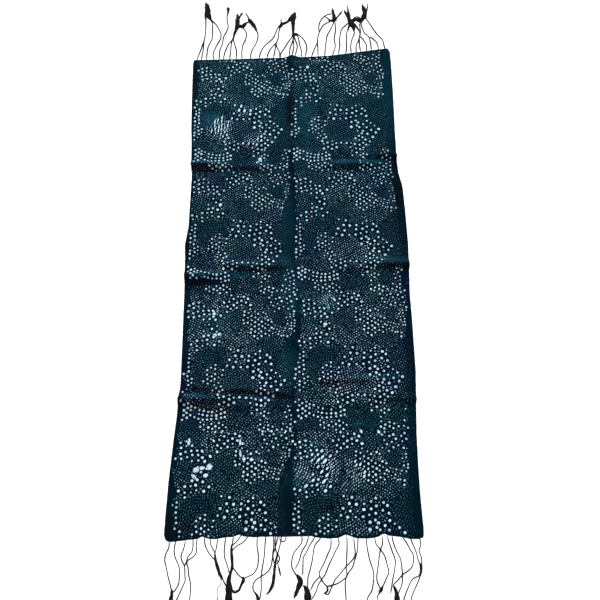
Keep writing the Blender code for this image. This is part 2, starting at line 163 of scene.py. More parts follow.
# One repeat of the print, charted from its upper left corner: patches of dots in rows on arcs
BLOCK_FROM = -12.0
BLOCK_TO = 246.0
BLOCK_HIGH = 312.0
PATCHES = table("across down reach dots arc_across arc_down", [
    (12, 36, 17, LARGE, 40, 90), (34, 42, 13, LARGE, 40, 90), (54, 56, 13, LARGE, 40, 90),
    (68, 60, 13, GREAT, 40, 90), (64, 84, 14, GREAT, 30, 84), (66, 106, 15, GREAT, 30, 84),
    (44, 98, 11, LARGE, 30, 60), (34, 114, 13, LARGE, 30, 60), (16, 128, 14, LARGE, 30, 60),
    (22, 84, 22, FINE, -30, 60), (14, 8, 16, FINE, 60, 0), (52, 16, 22, FINE, 100, 70),
    (92, 30, 16, LARGE, 170, -50), (112, 14, 18, LARGE, 170, -50), (130, 22, 14, LARGE, 170, -50),
    (98, 66, 22, FINE, 150, 150), (88, 104, 20, FINE, 150, 150), (120, 108, 20, FINE, 150, 150),
    (160, 20, 20, FINE, 200, 60), (134, 56, 15, MEDIUM, 110, 20), (154, 58, 17, MEDIUM, 110, 20),
    (174, 54, 14, MEDIUM, 110, 20), (156, 84, 15, MEDIUM, 110, 20), (196, 20, 15, SPARSE, 150, 40),
    (222, 16, 16, SPARSE, 150, 40), (200, 56, 18, DIM, 230, 90), (226, 56, 14, SMALL, 230, 90),
    (200, 90, 11, SMALL, 236, 50), (214, 97, 9, MEDIUM, 236, 50), (230, 122, 16, DIM, 150, 160),
    (186, 118, 18, FINE, 150, 170), (152, 116, 15, FINE, 100, 60), (8, 152, 9, MEDIUM, -60, 150),
    (8, 182, 10, MEDIUM, -60, 180), (8, 206, 10, MEDIUM, -60, 210), (40, 148, 20, FAINT, 60, 230),
    (72, 150, 17, FAINT, 60, 230), (30, 186, 16, DIM, 64, 150), (34, 222, 22, FINE, 120, 300),
    (66, 192, 14, MEDIUM, 20, 250), (74, 214, 12, MEDIUM, 20, 250), (104, 150, 14, GREAT, 120, 60),
    (126, 156, 17, GREAT, 120, 60), (152, 148, 16, GREAT, 120, 60), (174, 158, 15, GREAT, 120, 60),
    (156, 176, 12, GREAT, 120, 60), (180, 186, 14, GREAT, 90, 100), (194, 208, 14, GREAT, 90, 120),
    (176, 226, 15, LARGE, 90, 120), (112, 202, 22, FINE, 60, 100), (134, 222, 17, FINE, 60, 100),
    (206, 152, 17, DIM, 150, 120), (224, 182, 16, DIM, 150, 120), (224, 228, 17, DIM, 150, 160),
    (82, 246, 11, LARGE, 130, 330), (104, 244, 11, LARGE, 130, 330),
    (128, 244, 11, LARGE, 130, 330), (152, 248, 12, LARGE, 130, 330), (54, 246, 14, FINE, 120, 300),
    (16, 274, 15, DENSE, 60, 200), (40, 272, 14, DENSE, 60, 200), (66, 278, 14, DENSE, 60, 200),
    (86, 270, 9, DENSE, 60, 200), (60, 300, 15, DENSE, 10, 230), (80, 302, 12, DENSE, 10, 230),
    (20, 302, 17, DIM, 80, 260), (114, 276, 22, FAINT, 190, 330), (134, 298, 20, DIM, 190, 330),
    (174, 276, 9, MEDIUM, 60, 262), (178, 300, 12, MEDIUM, 60, 286), (200, 280, 14, DIM, 240, 330),
    (200, 256, 12, DIM, 240, 330), (224, 276, 12, MEDIUM, 150, 290),
    (224, 302, 12, MEDIUM, 150, 290),
])

# Where the block was printed: its upper left corner, size, slant in degrees and gain of larger dots
STAMPS = table("across along wide high slant gain", [
    (-246, -383, 1, 1, 0.3, 1.01), (-2, -384, 1.01, 1, -0.4, 1.02), (-234, -76, 1, 0.99, -0.5, 1),
    (9, -72, 1.02, 1, 0.4, 0.98), (-237, 243, 1, 1.02, 0, 0.98), (6, 242, 1.02, 1.01, 0, 0.98),
    (-243, 577, 1, 1.07, 0.3, 1.09), (-2, 577, 1, 1.07, 0, 1.05), (-243, 903, 1, 1.05, 0, 1.05),
    (-2, 903, 1, 1.05, 0, 1.03),
])

# Soft dark, brown and pale marks: along the folds they are painted shade on the shadowed slopes and painted
# highlights on the lit crests, elsewhere stains of the dye: their size, turn in degrees, and how dark, brown
# or pale they are More than half of their places were marked by eye in the photo and converted by that
# script
STAINS_AND_PAINTED_FOLD_SHADING = table("across along long wide turn dark brown pale", [
    (-218, 249, 32, 13, -3, 0.97, 0.2), (-165, 249, 40, 8, 0, 0.8, 0.1), (-96, 248, 40, 7, 0, 0.75),
    (-109, 310, 44, 7, -3, 0.75), (-118, 314, 24, 5, 0, 0.8), (136, 251, 19, 6, -6, 0.9, 0.5),
    (170, 253, 22, 5, 4, 0.85, 0.3), (223, 281, 20, 8, 0, 0.95, 0.7),
    (244, 267, 12, 18, 0, 0.9, 0.1), (60, 253, 13, 4, 0, 0.7, 0.2), (240, 220, 15, 7, -20, 0.6),
    (100, 285, 15, 7, 0, 0.5), (-2, 264, 6, 69, 0, 0.5), (-218, 272, 27, 6, 0, 0, 0, 0.6),
    (-174, 268, 20, 7, 0, 0, 0, 0.4), (128, 270, 26, 5, 0, 0, 0, 0.6),
    (184, 267, 32, 4, -3, 0, 0, 0.6), (-81, 270, 19, 11, 0, 0, 0, 0.35),
    (-123, -13, 20, 5, 3, 0.9, 0.2), (-74, -16, 27, 6, -3, 0.95, 0.5), (-28, -16, 28, 5, 0, 0.5),
    (-216, -52, 33, 15, -4, 0.92, 0.7), (-171, -49, 22, 6, 0, 0.5, 0.5),
    (221, -16, 21, 8, -3, 0.95, 0.8), (250, -18, 12, 9, 0, 0.9, 0.2), (-125, -46, 25, 6, 3, 0.5),
    (126, -21, 72, 4, 1, 0.45), (-39, -50, 18, 6, 0, 0.45), (-202, -28, 40, 6, 2, 0, 0, 0.55),
    (-119, -32, 20, 7, -6, 0, 0, 0.38), (-244, -33, 4, 12, 0, 0.7, 0.2),
    (-17, 6, 15, 12, 0, 0, 0, 0.3), (250, 6, 11, 9, 0, 0, 0, 0.35), (-208, -294, 26, 7, -3, 0.8),
    (-165, -297, 27, 8, -2, 1), (-115, -299, 30, 7, -3, 1), (-72, -304, 25, 7, -8, 1, 0.1),
    (-25, -311, 36, 6, -7, 1), (-158, -335, 30, 13, 5, 1, 0.9), (-206, -331, 28, 11, -5, 0.98, 0.6),
    (-232, -321, 12, 6, 0, 0.8, 0.1), (-33, -334, 17, 5, 0, 0.6), (-107, -337, 22, 7, 0, 0.5),
    (81, -284, 28, 7, 0, 0.95, 0.2), (145, -281, 44, 7, 2, 0.6), (61, -336, 10, 7, 0, 0.85, 0.9),
    (18, -333, 22, 5, 0, 0.45), (204, -321, 54, 5, 1, 0.6), (-3, -297, 11, 5, 0, 0.6),
    (-208, -309, 24, 5, -4, 0, 0, 0.3), (-76, -314, 33, 5, -4, 0, 0, 0.5),
    (131, -370, 17, 1.2, 0, 0, 0, 0.8), (-70, 290, 60, 8, -2, 0.3), (180, 321, 70, 6, 2, 0.3),
    (246, 160, 16, 150, 0, 0.5), (-8, 420, 9, 60, 0, 0.6), (34, 400, 22, 76, 0, 0, 0, 0.26),
    (-205, 398, 20, 24, 80, 0, 0, 0.5), (40, 296, 12, 14, 0, 0, 0, 0.4),
    (-13, 92, 15, 92, 0, 0, 0, 0.2), (-249, 520, 9, 70, 0, 0.5), (-250, 45, 12, 34, 0, 0.8, 0.3),
    (-6, -60, 24, 60, 0, 0, 0, 0.22), (26, -366, 18, 7, 0, 0.4, 0.1),
    (78, -534, 24, 11, -3, 0.6, 0.3), (-232, -572, 30, 24, 0, 0.45, 0.3),
    (-12, -505, 18, 90, 0, 0.3), (-12, -240, 22, 40, 0, 0, 0, 0.2), (246, -230, 13, 120, 0, 0.35),
    (110, 545, 30, 20, 0, 0.45, 0.1), (-20, 565, 40, 14, 0, 0.35), (170, 575, 60, 14, 8, 0.35),
    (-180, -150, 46, 40, 0, 0, 0, 0.15), (75, -100, 24, 22, 20, 0, 0, 0.3),
    (190, -270, 60, 6, 1, 0, 0, 0.3), (210, 6, 50, 8, 0, 0, 0, 0.35),
    (-110, 2, 60, 7, 0, 0, 0, 0.3), (40, -420, 24, 24, 0, 0, 0, 0.25),
    (8, -480, 24, 30, 0, 0, 0, 0.25), (243, 470, 13, 130, 0, 0, 0, 0.22),
], spare=2)
SPOT_SPREAD = 1.2
SPOT_CORE = 0.3
SPOT_FADE = 0.95
RAG_LEAST = 0.75
RAG_SWING = 0.9

# How far the two printed columns reach from side to side, along the cloth
# Most of these reaches come from a separate script, which measured where the photo's print ends
COLUMNS = table("along left_from left_to right_from right_to", [
    (-590, -233, -33, -8, 221), (-545, -240, -34, -6, 219), (-505, -241, -34, -3, 226),
    (-470, -244, -26, -3, 228), (-440, -243, -13, -2, 229), (-400, -241, -4, 4, 232),
    (-355, -236, 1, 6, 233), (-310, -235, -10, 2, 236), (-270, -234, -8, 0, 238),
    (-225, -230, -21, 9, 242), (-190, -228, -20, 12, 236), (-160, -231, 4, 14, 242),
    (-110, -231, 5, 15, 250), (-65, -233, 9, 16, 246), (-25, -241, 0, 6, 246),
    (20, -238, -24, 6, 247), (60, -240, -29, 7, 245), (100, -238, -30, 7, 244),
    (145, -238, -24, 7, 242), (185, -236, -8, 6, 241), (240, -238, -6, 3, 238),
    (300, -241, -4, 2, 232), (345, -243, -7, -2, 232), (390, -243, -9, 1, 234),
    (430, -242, -12, 1, 233), (470, -239, -10, 0, 231), (510, -239, -5, -3, 232),
    (550, -238, -9, -4, 231), (600, -244, -8, -1, 232),
])
RIGHT_COLUMN_FROM = -100

# Where the paste was dragged: dots stretch along a direction, in degrees
STREAKS = table("across along reach turn stretch", [
    (16, -476, 32, 44, 1.9), (58, -464, 46, 50, 2), (110, -474, 42, 60, 2.4),
    (50, -405, 26, 130, 1.3), (-178, -412, 28, 128, 1.6), (78, -95, 26, 122, 1.9),
    (-168, -106, 26, 124, 1.7), (-128, -165, 30, 104, 1.4), (-182, 380, 43, 82, 2.7),
    (-222, 405, 34, 96, 1.5), (-116, 434, 36, 76, 1.6), (-98, 336, 32, 70, 1.8),
    (128, -545, 20, 10, 1.2),
])
STREAK_NARROWS = 0.3
STREAK_RISE = 2.0

# Where the paste ran together into a blot
BLOTS = table("across along long wide turn", [
    (-217, -404, 7.5, 2.6, 84), (-200, -461, 6.4, 5, 25), (-188, -457, 5.6, 3.8, 15),
    (-173, -455, 6.4, 5.6, 60), (-204, -474, 6.6, 3.2, -42), (-180, -472, 4.8, 3.7, 20),
    (-112, -406, 6.5, 1.7, 88), (-111, -429, 7, 2.2, 95), (-104, -440, 3.8, 3.2, 0),
    (-88, -441, 3.8, 3.4, 30), (137, -386, 4.6, 2.6, -50), (173, -388, 4.6, 2.8, -60),
    (-175, -123, 3.9, 3.3, 0), (-172, -173, 4.4, 3.8, 10), (-162, -171, 3.9, 3.4, 0),
    (-79, 277, 6.4, 4, 80), (-85, 268, 3.4, 2.4, 20), (40, 556, 4.4, 3, 90), (69, -150, 4, 3.6, 0),
    (-171, 152, 4.2, 3.6, 80),
])
BLOT_TONE = 0.93
BLOT_SOFT = 0.12

# How the block's dots are laid and printed
BLOCK_SEED = 5
PRINT_SEED = 17
PRINT_MARGIN_SIDE = 2.5
PRINT_MARGIN_HEM = 3.0
QUAD_HALF = 1.32
PATCH_WAVER = 15.0
EDGE_WAVER = 5.0
COLUMN_SPARE = 1.0
# Beyond its right side each column has a few last faint dots: how far out, and how faint
LAST_DOTS = 12.0
LAST_TONE = 0.35
# Where dots grow fainter towards the far end, and how much the fine and the larger ones do
FADE_FROM = -400.0
FADE_REACH = 700.0
FAR_FADE = 0.08
FAR_FADE_LARGE = 0.04
# How dots vary, how clear they stay of others, in pitches, and which are missed or too small
SIZE_LEAST = 0.89
SIZE_SWING = 0.24
SIZE_RANGE = (0.90, 1.10)
FINE_SIZE_LEAST = 0.7
FINE_SIZE_SWING = 0.3
LONG_RANGE = (1.0, 1.18)
TONE_RANGE = (0.80, 1.0)
FINE_TONE_RANGE = (0.70, 1.20)
TONE_LEAST = 0.70
TONE_SWING = 0.55
DOT_GAP = 0.14
FILL_ROOM = 0.30
MISSED_SHARE = 0.05
UNDERSIZED_SHARE = 0.16
UNDERSIZED = 0.76
# How many times its width a fine or a larger dot is dragged before it prints stronger
DRAGGED_FINE = 1.8
DRAGGED_LARGE = 1.3
DRAGGED_TONE = 1.3
# The coordinates and softness of corners in no dot
NO_DOT = 9.0
NO_DOT_SOFT = 0.1
# The cells in which placed dots are found, and how clear the grid stays of the dots
DOT_CELL = 12.0
GRID_CELL = 14.0
GRID_CLEAR = 0.5
DOT_CORNER_REACH = 1.5

# The warp yarns, roughly from left to right: the places of each from its root to its tip
YARN = 2.45
FAR_YARN = 3.35
TRUNK = 3.4
# Two thirds of these places were marked by eye in the photo and turned into millimetres by a script
FAR_YARNS = yarns(FAR_YARN, [
    [(-246, 583), (-237, 616), (-231, 642)],
    [(-234, 583), (-231, 615), (-230, 639), (-228, 661), (-227, 692), (-228, 719), (-228, 740)],
    [(-221, 583), (-219, 622), (-210, 648), (-209, 667), (-209, 692), (-211, 709), (-219, 722)],
    [(-203, 583), (-204, 605), (-197, 628), (-189, 646), (-186, 665), (-191, 682), (-202, 703),
     (-211, 714)],
    [(-188, 583), (-188, 610), (-182, 633), (-179, 657), (-172, 676), (-168, 694), (-172, 718),
     (-171, 736)],
    [(-178, 583), (-173, 611), (-165, 634), (-155, 651), (-151, 664)],
    [(-161, 584), (-159, 614), (-158, 635), (-155, 651)],
    [(-144, 584), (-144, 611), (-149, 632), (-153, 650)],
    [TRUNK, (-154, 649), (-151, 669), (-147, 686)],
    [(-129, 584), (-130, 614), (-127, 632), (-121, 650), (-119, 669), (-126, 684), (-131, 692)],
    [3.2, (-108, 585), (-104, 612), (-96, 630), (-90, 647), (-89, 665), (-92, 679)],
    [(-85, 586), (-81, 606), (-73, 624), (-59, 641), (-48, 654), (-42, 673), (-35, 691), (-25, 703)],
    [(-65, 586), (-61, 604), (-54, 619), (-46, 631), (-41, 637)],
    [(-48, 587), (-44, 610), (-43, 626), (-41, 636)],
    [(-31, 587), (-32, 605), (-38, 620), (-41, 634)],
    [TRUNK, (-42, 630), (-36, 651), (-34, 671), (-30, 692)],
    [(-30, 587), (-28, 602), (-18, 622), (-7, 643), (1, 658), (8, 668)],
    [(-7, 592), (-4, 620), (1, 638), (6, 660)],
    [(1, 594), (5, 625), (4, 647), (6, 662)],
    [(8, 592), (13, 614), (14, 627), (10, 644), (6, 659)],
    [(26, 588), (24, 615), (20, 633), (17, 655), (11, 667)],
    [(34, 589), (39, 617), (35, 640), (25, 656), (12, 668)],
    [(51, 590), (59, 616), (66, 634)],
    [(68, 591), (68, 619), (67, 641), (71, 664), (74, 675), (84, 695), (104, 709)],
    [(85, 592), (88, 623), (93, 658), (104, 684), (112, 704)],
    [(105, 593), (113, 622), (112, 651), (116, 680), (115, 706)],
    [(121, 595), (125, 626), (126, 651), (132, 680), (150, 702)],
    [(140, 598), (143, 622), (144, 654), (147, 676), (153, 692)],
    [(154, 601), (154, 625), (159, 650), (165, 669), (158, 694)],
    [(167, 602), (169, 627), (176, 647), (181, 668), (180, 700)],
    [(179, 604), (177, 632), (177, 650), (180, 665), (174, 686), (162, 700)],
    [(194, 606), (195, 627), (189, 643), (181, 656)],
    [(207, 608), (206, 636), (202, 655), (191, 670), (185, 694), (183, 710)],
    [(226, 611), (222, 636), (206, 655)],
    [(243, 613), (238, 643), (225, 663), (212, 688), (203, 708), (195, 728)],
    [(72, 672), (72, 694), (77, 710), (85, 723), (96, 732), (107, 735)],
    [(89, 726), (95, 720), (103, 713)],
    [(-229, 716), (-231, 735), (-230, 760)],
])
NEAR_YARNS = yarns(YARN, [
    [(-246, -594), (-246, -608), (-251, -620), (-252, -633), (-248, -647), (-243, -664),
     (-238, -680), (-235, -690), (-240, -702), (-243, -737)],
    [(-233, -594), (-235, -612), (-233, -625), (-226, -640), (-223, -651), (-223, -672),
     (-229, -684), (-235, -692), (-238, -712), (-235, -728)],
    [(-214, -593), (-217, -610), (-221, -623), (-219, -633), (-214, -643), (-212, -660),
     (-211, -668), (-215, -678), (-221, -691), (-228, -708)],
    [(-200, -591), (-199, -604), (-201, -616), (-208, -625), (-210, -633), (-213, -642)],
    [(-191, -590), (-193, -606), (-192, -617), (-198, -626), (-209, -634), (-207, -645),
     (-205, -658), (-201, -671), (-200, -681), (-201, -700), (-203, -742)],
    [(-178, -589), (-175, -606), (-168, -619), (-156, -632)],
    [(-166, -592), (-164, -605), (-157, -618), (-154, -628)],
    [(-151, -591), (-153, -605), (-156, -619)],
    [TRUNK, (-156, -617), (-154, -629), (-150, -644), (-145, -659)],
    [1.6, (-145, -655), (-143, -673), (-149, -685), (-148, -714)],
    [(-145, -655), (-137, -671), (-131, -683)],
    [(-136, -588), (-138, -609), (-137, -627), (-131, -644), (-126, -659)],
    [(-121, -586), (-123, -603), (-125, -616)],
    [(-105, -585), (-114, -598), (-124, -607)],
    [(-91, -588), (-102, -600), (-115, -607), (-124, -617)],
    [TRUNK, (-125, -607), (-124, -624), (-122, -646), (-126, -664)],
    [(-122, -644), (-118, -649), (-111, -658), (-101, -666)],
    [(-74, -588), (-75, -607), (-72, -625), (-73, -642), (-79, -655), (-86, -660), (-101, -666)],
    [(-58, -588), (-60, -616), (-62, -635), (-65, -651), (-66, -662), (-66, -682), (-68, -702)],
    [(-43, -587), (-43, -608), (-46, -637), (-50, -649), (-57, -657), (-66, -662), (-76, -668),
     (-81, -676), (-81, -685), (-76, -694), (-69, -708)],
    [(-35, -587), (-36, -598), (-40, -612), (-44, -625), (-40, -642)],
    [(-27, -588), (-29, -600), (-33, -616), (-37, -634)],
    [(-39, -588), (-40, -604), (-37, -618), (-31, -630), (-36, -640)],
    [1.5, (-36, -630), (-32, -649), (-29, -662)],
    [(-18, -589), (-21, -599), (-28, -599), (-31, -593)],
    [(12, -588), (12, -601), (4, -612), (-4, -622), (-8, -636), (-7, -647), (-1, -658), (5, -668)],
    [(26, -588), (21, -604), (12, -619), (7, -634), (-1, -649)],
    [(39, -590), (29, -605), (21, -619), (15, -629), (14, -644), (13, -661)],
    [(51, -592), (38, -607), (34, -621), (31, -638), (27, -654), (23, -666), (22, -686)],
    [(69, -593), (68, -611), (61, -626), (52, -644), (45, -657), (45, -664), (35, -674), (28, -688)],
    [(45, -660), (50, -671), (59, -681), (70, -679)],
    [(83, -593), (84, -606), (75, -622), (65, -641), (57, -658), (49, -669), (42, -680), (38, -690),
     (30, -704)],
    [(100, -589), (100, -613), (98, -634), (97, -653), (98, -660), (94, -675), (94, -691), (97, -741)],
    [(113, -592), (115, -614), (114, -627), (106, -638), (94, -649), (83, -661), (75, -670),
     (71, -677), (66, -686), (61, -695), (53, -693)],
    [(122, -592), (120, -615), (114, -634), (109, -648), (101, -657), (96, -665), (84, -674),
     (75, -678), (59, -681)],
    [(138, -592), (139, -615), (143, -635), (148, -653), (149, -664), (147, -679), (143, -691),
     (135, -704), (131, -732)],
    [(154, -592), (157, -607), (164, -616), (172, -628), (176, -644), (178, -657), (174, -666),
     (168, -678), (162, -687), (155, -698), (154, -706)],
    [(169, -591), (169, -605), (164, -617), (160, -637), (156, -657), (155, -673), (161, -688)],
    [(178, -590), (182, -604), (187, -620), (192, -635), (190, -650), (186, -666), (182, -684),
     (179, -694)],
    [(188, -590), (190, -604), (196, -620), (202, -634), (204, -653), (204, -661), (202, -678),
     (194, -696)],
    [(208, -593), (216, -605), (221, -616), (227, -625), (227, -636), (223, -648), (213, -657),
     (204, -662), (195, -671), (186, -681), (190, -696)],
    [(223, -594), (232, -618), (236, -636), (241, -650), (236, -663), (223, -670), (214, -684),
     (204, -705), (200, -729)],
    [(242, -595), (243, -608), (239, -619), (243, -632), (242, -645), (240, -658), (235, -671),
     (226, -687), (218, -705), (213, -734)],
])

# The matted locks: each is a line of places, across and along, with the lock's width there
FAR_LOCKS = [
    [(-210, 707, 2.4), (-214, 716, 5), (-219, 725, 9.5), (-222, 737, 12), (-225, 752, 11.5),
     (-227, 765, 9), (-230, 774, 5), (-231, 780, 1.4)],
    [(-172, 732, 1.8), (-170, 741, 4.6), (-169, 750, 6.2), (-170, 757, 5), (-172, 762, 1.8)],
    [(-154, 648, 3.4), (-151, 668, 5.4), (-147, 681, 7.6), (-144, 694, 10), (-144, 711, 8.6),
     (-143, 725, 7.6), (-145, 734, 4.6), (-146, 740, 1.2)],
    [(-146, 692, 7), (-137, 694, 9.4), (-129, 692, 9), (-125, 700, 6.8), (-120, 707, 4),
     (-113, 709, 3)],
    [(-142, 718, 4), (-138, 727, 3.4), (-134, 735, 4.4), (-131, 742, 1.2)],
    [(-92, 676, 3.4), (-96, 687, 6.8), (-101, 697, 9), (-107, 706, 10), (-112, 714, 8),
     (-114, 720, 3.6), (-117, 729, 1.6), (-123, 741, 0.8)],
    [(-33, 687, 3.2), (-29, 693, 7), (-26, 700, 8.6), (-17, 704, 6), (-8, 711, 7), (-1, 722, 8.6),
     (5, 733, 7), (9, 741, 1.4)],
    [(-27, 702, 3.6), (-28, 712, 2.2), (-28, 723, 0.8)],
    [(4, 660, 5), (4, 680, 6.4), (4, 695, 8.2), (4, 710, 10), (6, 725, 10.6), (8, 735, 7),
     (9, 744, 1.4)],
    [(0, 660, 2), (5, 664, 7.4), (11, 665, 7.6), (17, 667, 1.8)],
    [(97, 712, 1.8), (104, 711, 5), (111, 712, 9), (117, 716, 8), (121, 721, 2.8)],
    [(110, 704, 2.8), (113, 714, 8.8), (113, 727, 8), (111, 740, 5.2), (110, 749, 3),
     (109, 757, 0.9)],
    [(118, 719, 2.6), (127, 730, 3.6), (133, 740, 3), (138, 748, 1)],
    [(141, 749, 1.2), (144, 738, 6), (149, 728, 7), (153, 715, 9), (156, 705, 11), (160, 695, 10.4),
     (165, 685, 7.6), (166, 676, 2.2)],
    [(151, 765, 0.9), (151, 751, 3.4), (152, 738, 5.2), (154, 721, 7)],
    [(156, 703, 6), (153, 694, 5.4), (151, 685, 3), (149, 677, 0.9)],
    [(159, 704, 8), (165, 711, 9.6), (172, 714, 8.8), (180, 710, 8.8), (184, 704, 5.6),
     (184, 697, 1.4)],
    [(162, 713, 2.4), (168, 722, 2.6), (176, 724, 2.6), (184, 718, 3)],
    [(166, 700, 6), (171, 690, 4), (176, 681, 2.4), (181, 673, 0.9)],
    [(181, 703, 5), (189, 716, 10.6), (194, 727, 11.8), (196, 738, 10), (193, 752, 8),
     (191, 762, 4.4), (191, 769, 1.2)],
    [(197, 722, 3.6), (200, 737, 3.4), (203, 752, 2.2), (206, 772, 0.8)],
]
NEAR_LOCKS = [
    [(-157, -622, 2.6), (-153, -637, 5), (-147, -653, 4.6), (-142, -667, 2.2)],
    [(-124, -604, 2.4), (-124, -618, 4.4), (-122, -643, 4.4), (-125, -656, 4.2), (-128, -668, 7),
     (-127, -682, 10.6), (-127, -702, 9.4), (-126, -728, 7), (-127, -747, 1.6)],
    [(-101, -662, 2.2), (-100, -669, 5.6), (-104, -677, 3.8), (-108, -686, 3), (-115, -690, 3),
     (-123, -686, 5)],
    [(-78, -690, 1.8), (-73, -699, 5.4), (-70, -712, 6.6), (-69, -728, 4.6), (-69, -741, 1.2)],
    [(-36, -622, 2.2), (-40, -644, 3.8), (-42, -662, 4.6), (-44, -675, 5), (-48, -685, 4.8),
     (-56, -695, 1.6)],
    [(-33, -645, 1.6), (-31, -653, 2.6), (-29, -662, 1)],
    [(0, -659, 2.6), (5, -664, 6.4), (9, -672, 9.4), (5, -682, 7.8), (1, -692, 5.2),
     (-4, -703, 1.2)],
    [(14, -679, 1.8), (20, -686, 8), (22, -697, 11.6), (22, -712, 9.6), (22, -730, 6.4),
     (21, -747, 1.4)],
    [(58, -678, 1.6), (60, -688, 3.2), (54, -695, 2)],
    [(187, -682, 2.2), (190, -693, 6.4), (191, -705, 8.8), (190, -724, 6.4), (190, -747, 1.4)],
    [(-236, -683, 1.8), (-235, -692, 5), (-233, -704, 1.8)],
    [(166, -681, 1.6), (162, -688, 4.8), (157, -696, 1.8)],
    [(239, -641, 1.8), (240, -653, 4), (237, -663, 1.6)],
]
FAR_SEED = 31
NEAR_SEED = 32

# How a lock is built: its core, the fibre bundles over it and their stray hairs
LOCK_FLAT = 0.42
LOCK_LOW = 1.2
LOCK_THINNEST = 0.6
LOCK_SIDES = 14
LOCK_STEP = 2.0
LOCK_FULL = 1.12
LOCK_GAP = 0.05
LOCK_SEEDS = 50
LUMP_LEAST = 0.82
LUMP = 0.10
LUMPS_ROUND = 3
LUMP_PITCH = 4.0
GRAIN_PITCH = 3.0
CORE_TONE = 0.25
CORE_TONE_SWING = 0.3
FIBRE_SIDES = 4
FIBRE_TAPER = 0.75
BUNDLES_LEAST = 7
BUNDLES_BY_WIDTH = 3.2
BUNDLE_RADIUS = (0.28, 0.55)
BUNDLE_LATE_START = 0.35
BUNDLE_EARLY_END = 0.25
BUNDLE_SHORTEST = 4
BUNDLE_TURN = (14, 40)
BUNDLE_SWAY = 0.5
BUNDLE_SWAY_PITCH = (4, 9)
BUNDLE_OUT = 0.96
BUNDLE_RIPPLE = 0.08
RIPPLE_PITCH = 3.0
BUNDLE_LIFT = 0.3
STRAY_SHARE = 0.4
STRAY_REACH = (0.3, 2.6)
STRAY_LATE = 4
STRAY_BY_WIDTH = 0.25

# How a yarn is built: its two plies, its root at the hem, its ride over others and its frayed tip
YARN_SIDES = 8
CURVE_CUTS = 12
RING_STEP = 0.9
PLY_PITCH = 5.2
PLY_LOBE = 0.12
WOBBLE = 0.22
WOBBLE_PITCH = (5, 8)
WOBBLE_FROM = 12.0
SWELL = 0.10
SWELL_PITCH = (9, 15)
PHASE = (0, 6)
ROOT_FROM = 3.0
ROOT_FALL = 16.0
ROOT_HELD = 5.0
# How a yarn thickens from its root and thins to its tip: least share, rest of it, and over how far
ROOT_GROWTH = (0.55, 0.45, 9.0)
TIP_GROWTH = (0.6, 0.4, 4.0)
RIDE_FROM = 8.0
RIDE_TO = 5.0
HIGHEST_RIDE = 4.2
CLIMB = 0.35
SMOOTHED_RINGS = 5
YARN_CELL = 3.0
TIP_FIBRES = 4
TIP_RADIUS = 0.13
TIP_REACH = (2.0, 5.0)
TIP_SPREAD = (-0.5, 0.5)
TIP_BEND = (-0.4, 0.4)
TIP_LOW = 0.12
TIP_SINKS = 0.6
TIP_STEPS = 6
TIP_FROM_RING = 3
TIP_AIM_RING = 5
FLOOR_GAP = 0.02

# The colours
NAVY = (0.0006, 0.0056, 0.0176)
TEAL = (0.0003, 0.0100, 0.0155)
DEEP = (0.0002, 0.0028, 0.0058)
SLUB = (0.010, 0.045, 0.062)
PLUM = (0.0020, 0.0050, 0.0190)
# The next two colours are the dark marks: painted shade along the folds and stains elsewhere; the black also
# darkens the side edges. The third is the pale marks: painted highlights on the fold crests and faded dye
# elsewhere.
FOLD_BLACK = (0.0020, 0.0014, 0.0032)
FOLD_BROWN = (0.0022, 0.0030, 0.0012)
FADED_AND_HIGHLIGHT_TEAL = (0.0040, 0.0500, 0.0780)
FAR_TEAL = (0.0003, 0.0130, 0.0214)
NEAR_TEAL = (0.0003, 0.0078, 0.0102)
PALE = (0.62, 0.82, 0.94)
WASHED = (0.135, 0.29, 0.40)
FAR_PALE = (0.57, 0.83, 0.96)
FAR_WASHED = (0.085, 0.31, 0.445)
YARN_BLACK = (0.0016, 0.0013, 0.0015)
YARN_BROWN = (0.010, 0.0088, 0.0072)
YARN_OLIVE = (0.010, 0.009, 0.004)
YARN_PLUM = (0.007, 0.004, 0.011)
YARN_HAIRS = (0.018, 0.016, 0.012)

# Uneven dye: each layer's noise, and how much of which colour shows through it
LAYER = "squeeze scale detail rough low high share colour"
EVEN = (1.0, 1.0, 1.0)
DYE_LAYERS = table(LAYER, [
    (EVEN, 7.0, 3.0, 0.55, 0.35, 0.65, 1.0, TEAL),
    (EVEN, 38.0, 4.0, 0.6, 0.30, 0.75, 0.75, DEEP),
    ((60.0, 900.0, 1.0), 1.0, 3.0, 0.6, 0.45, 0.75, 0.35, SLUB),
    ((1100.0, 40.0, 1.0), 1.0, 2.0, 0.6, 0.5, 0.8, 0.25, DEEP),
])
YARN_LAYERS = table(LAYER, [
    (EVEN, 60.0, 2.0, 0.5, 0.45, 0.7, 1.0, YARN_OLIVE),
    (EVEN, 90.0, 2.0, 0.5, 0.55, 0.75, 1.0, YARN_PLUM),
])

# Other noises: their scale, detail and roughness
PLUM_NOISE = (9.0, 2.0, 0.5)
RAG_NOISE = (700.0, 2.0, 0.6)
CLOUDY_NOISE = (160.0, 3.0, 0.6)
ROUGH_NOISE = (55.0, 3.0, 0.6)
RUMPLE_NOISE = (75.0, 4.0, 0.6)
THREAD_NOISE = (1500.0, 1.0, 0.5)
HAIR_NOISE = (2600.0, 2.0, 0.6)
FIBRE_NOISE = (1900.0, 3.0, 0.7)

# How far a noise is squeezed across and along
PLUM_SQUEEZE = (1.3, 1.0, 1.0)
RUMPLE_SQUEEZE = (1.0, 1.6, 1.0)
THREAD_SQUEEZE = (0.12, 1.0, 1.0)

# Bumps: their strength, and their height in metres
RUMPLE_BUMP = (0.35, 0.0012)
THREAD_BUMP = (0.25, 0.00012)
WEAVE_BUMP = (0.35, 0.00008)
FIBRE_BUMP = (0.6, 0.0003)

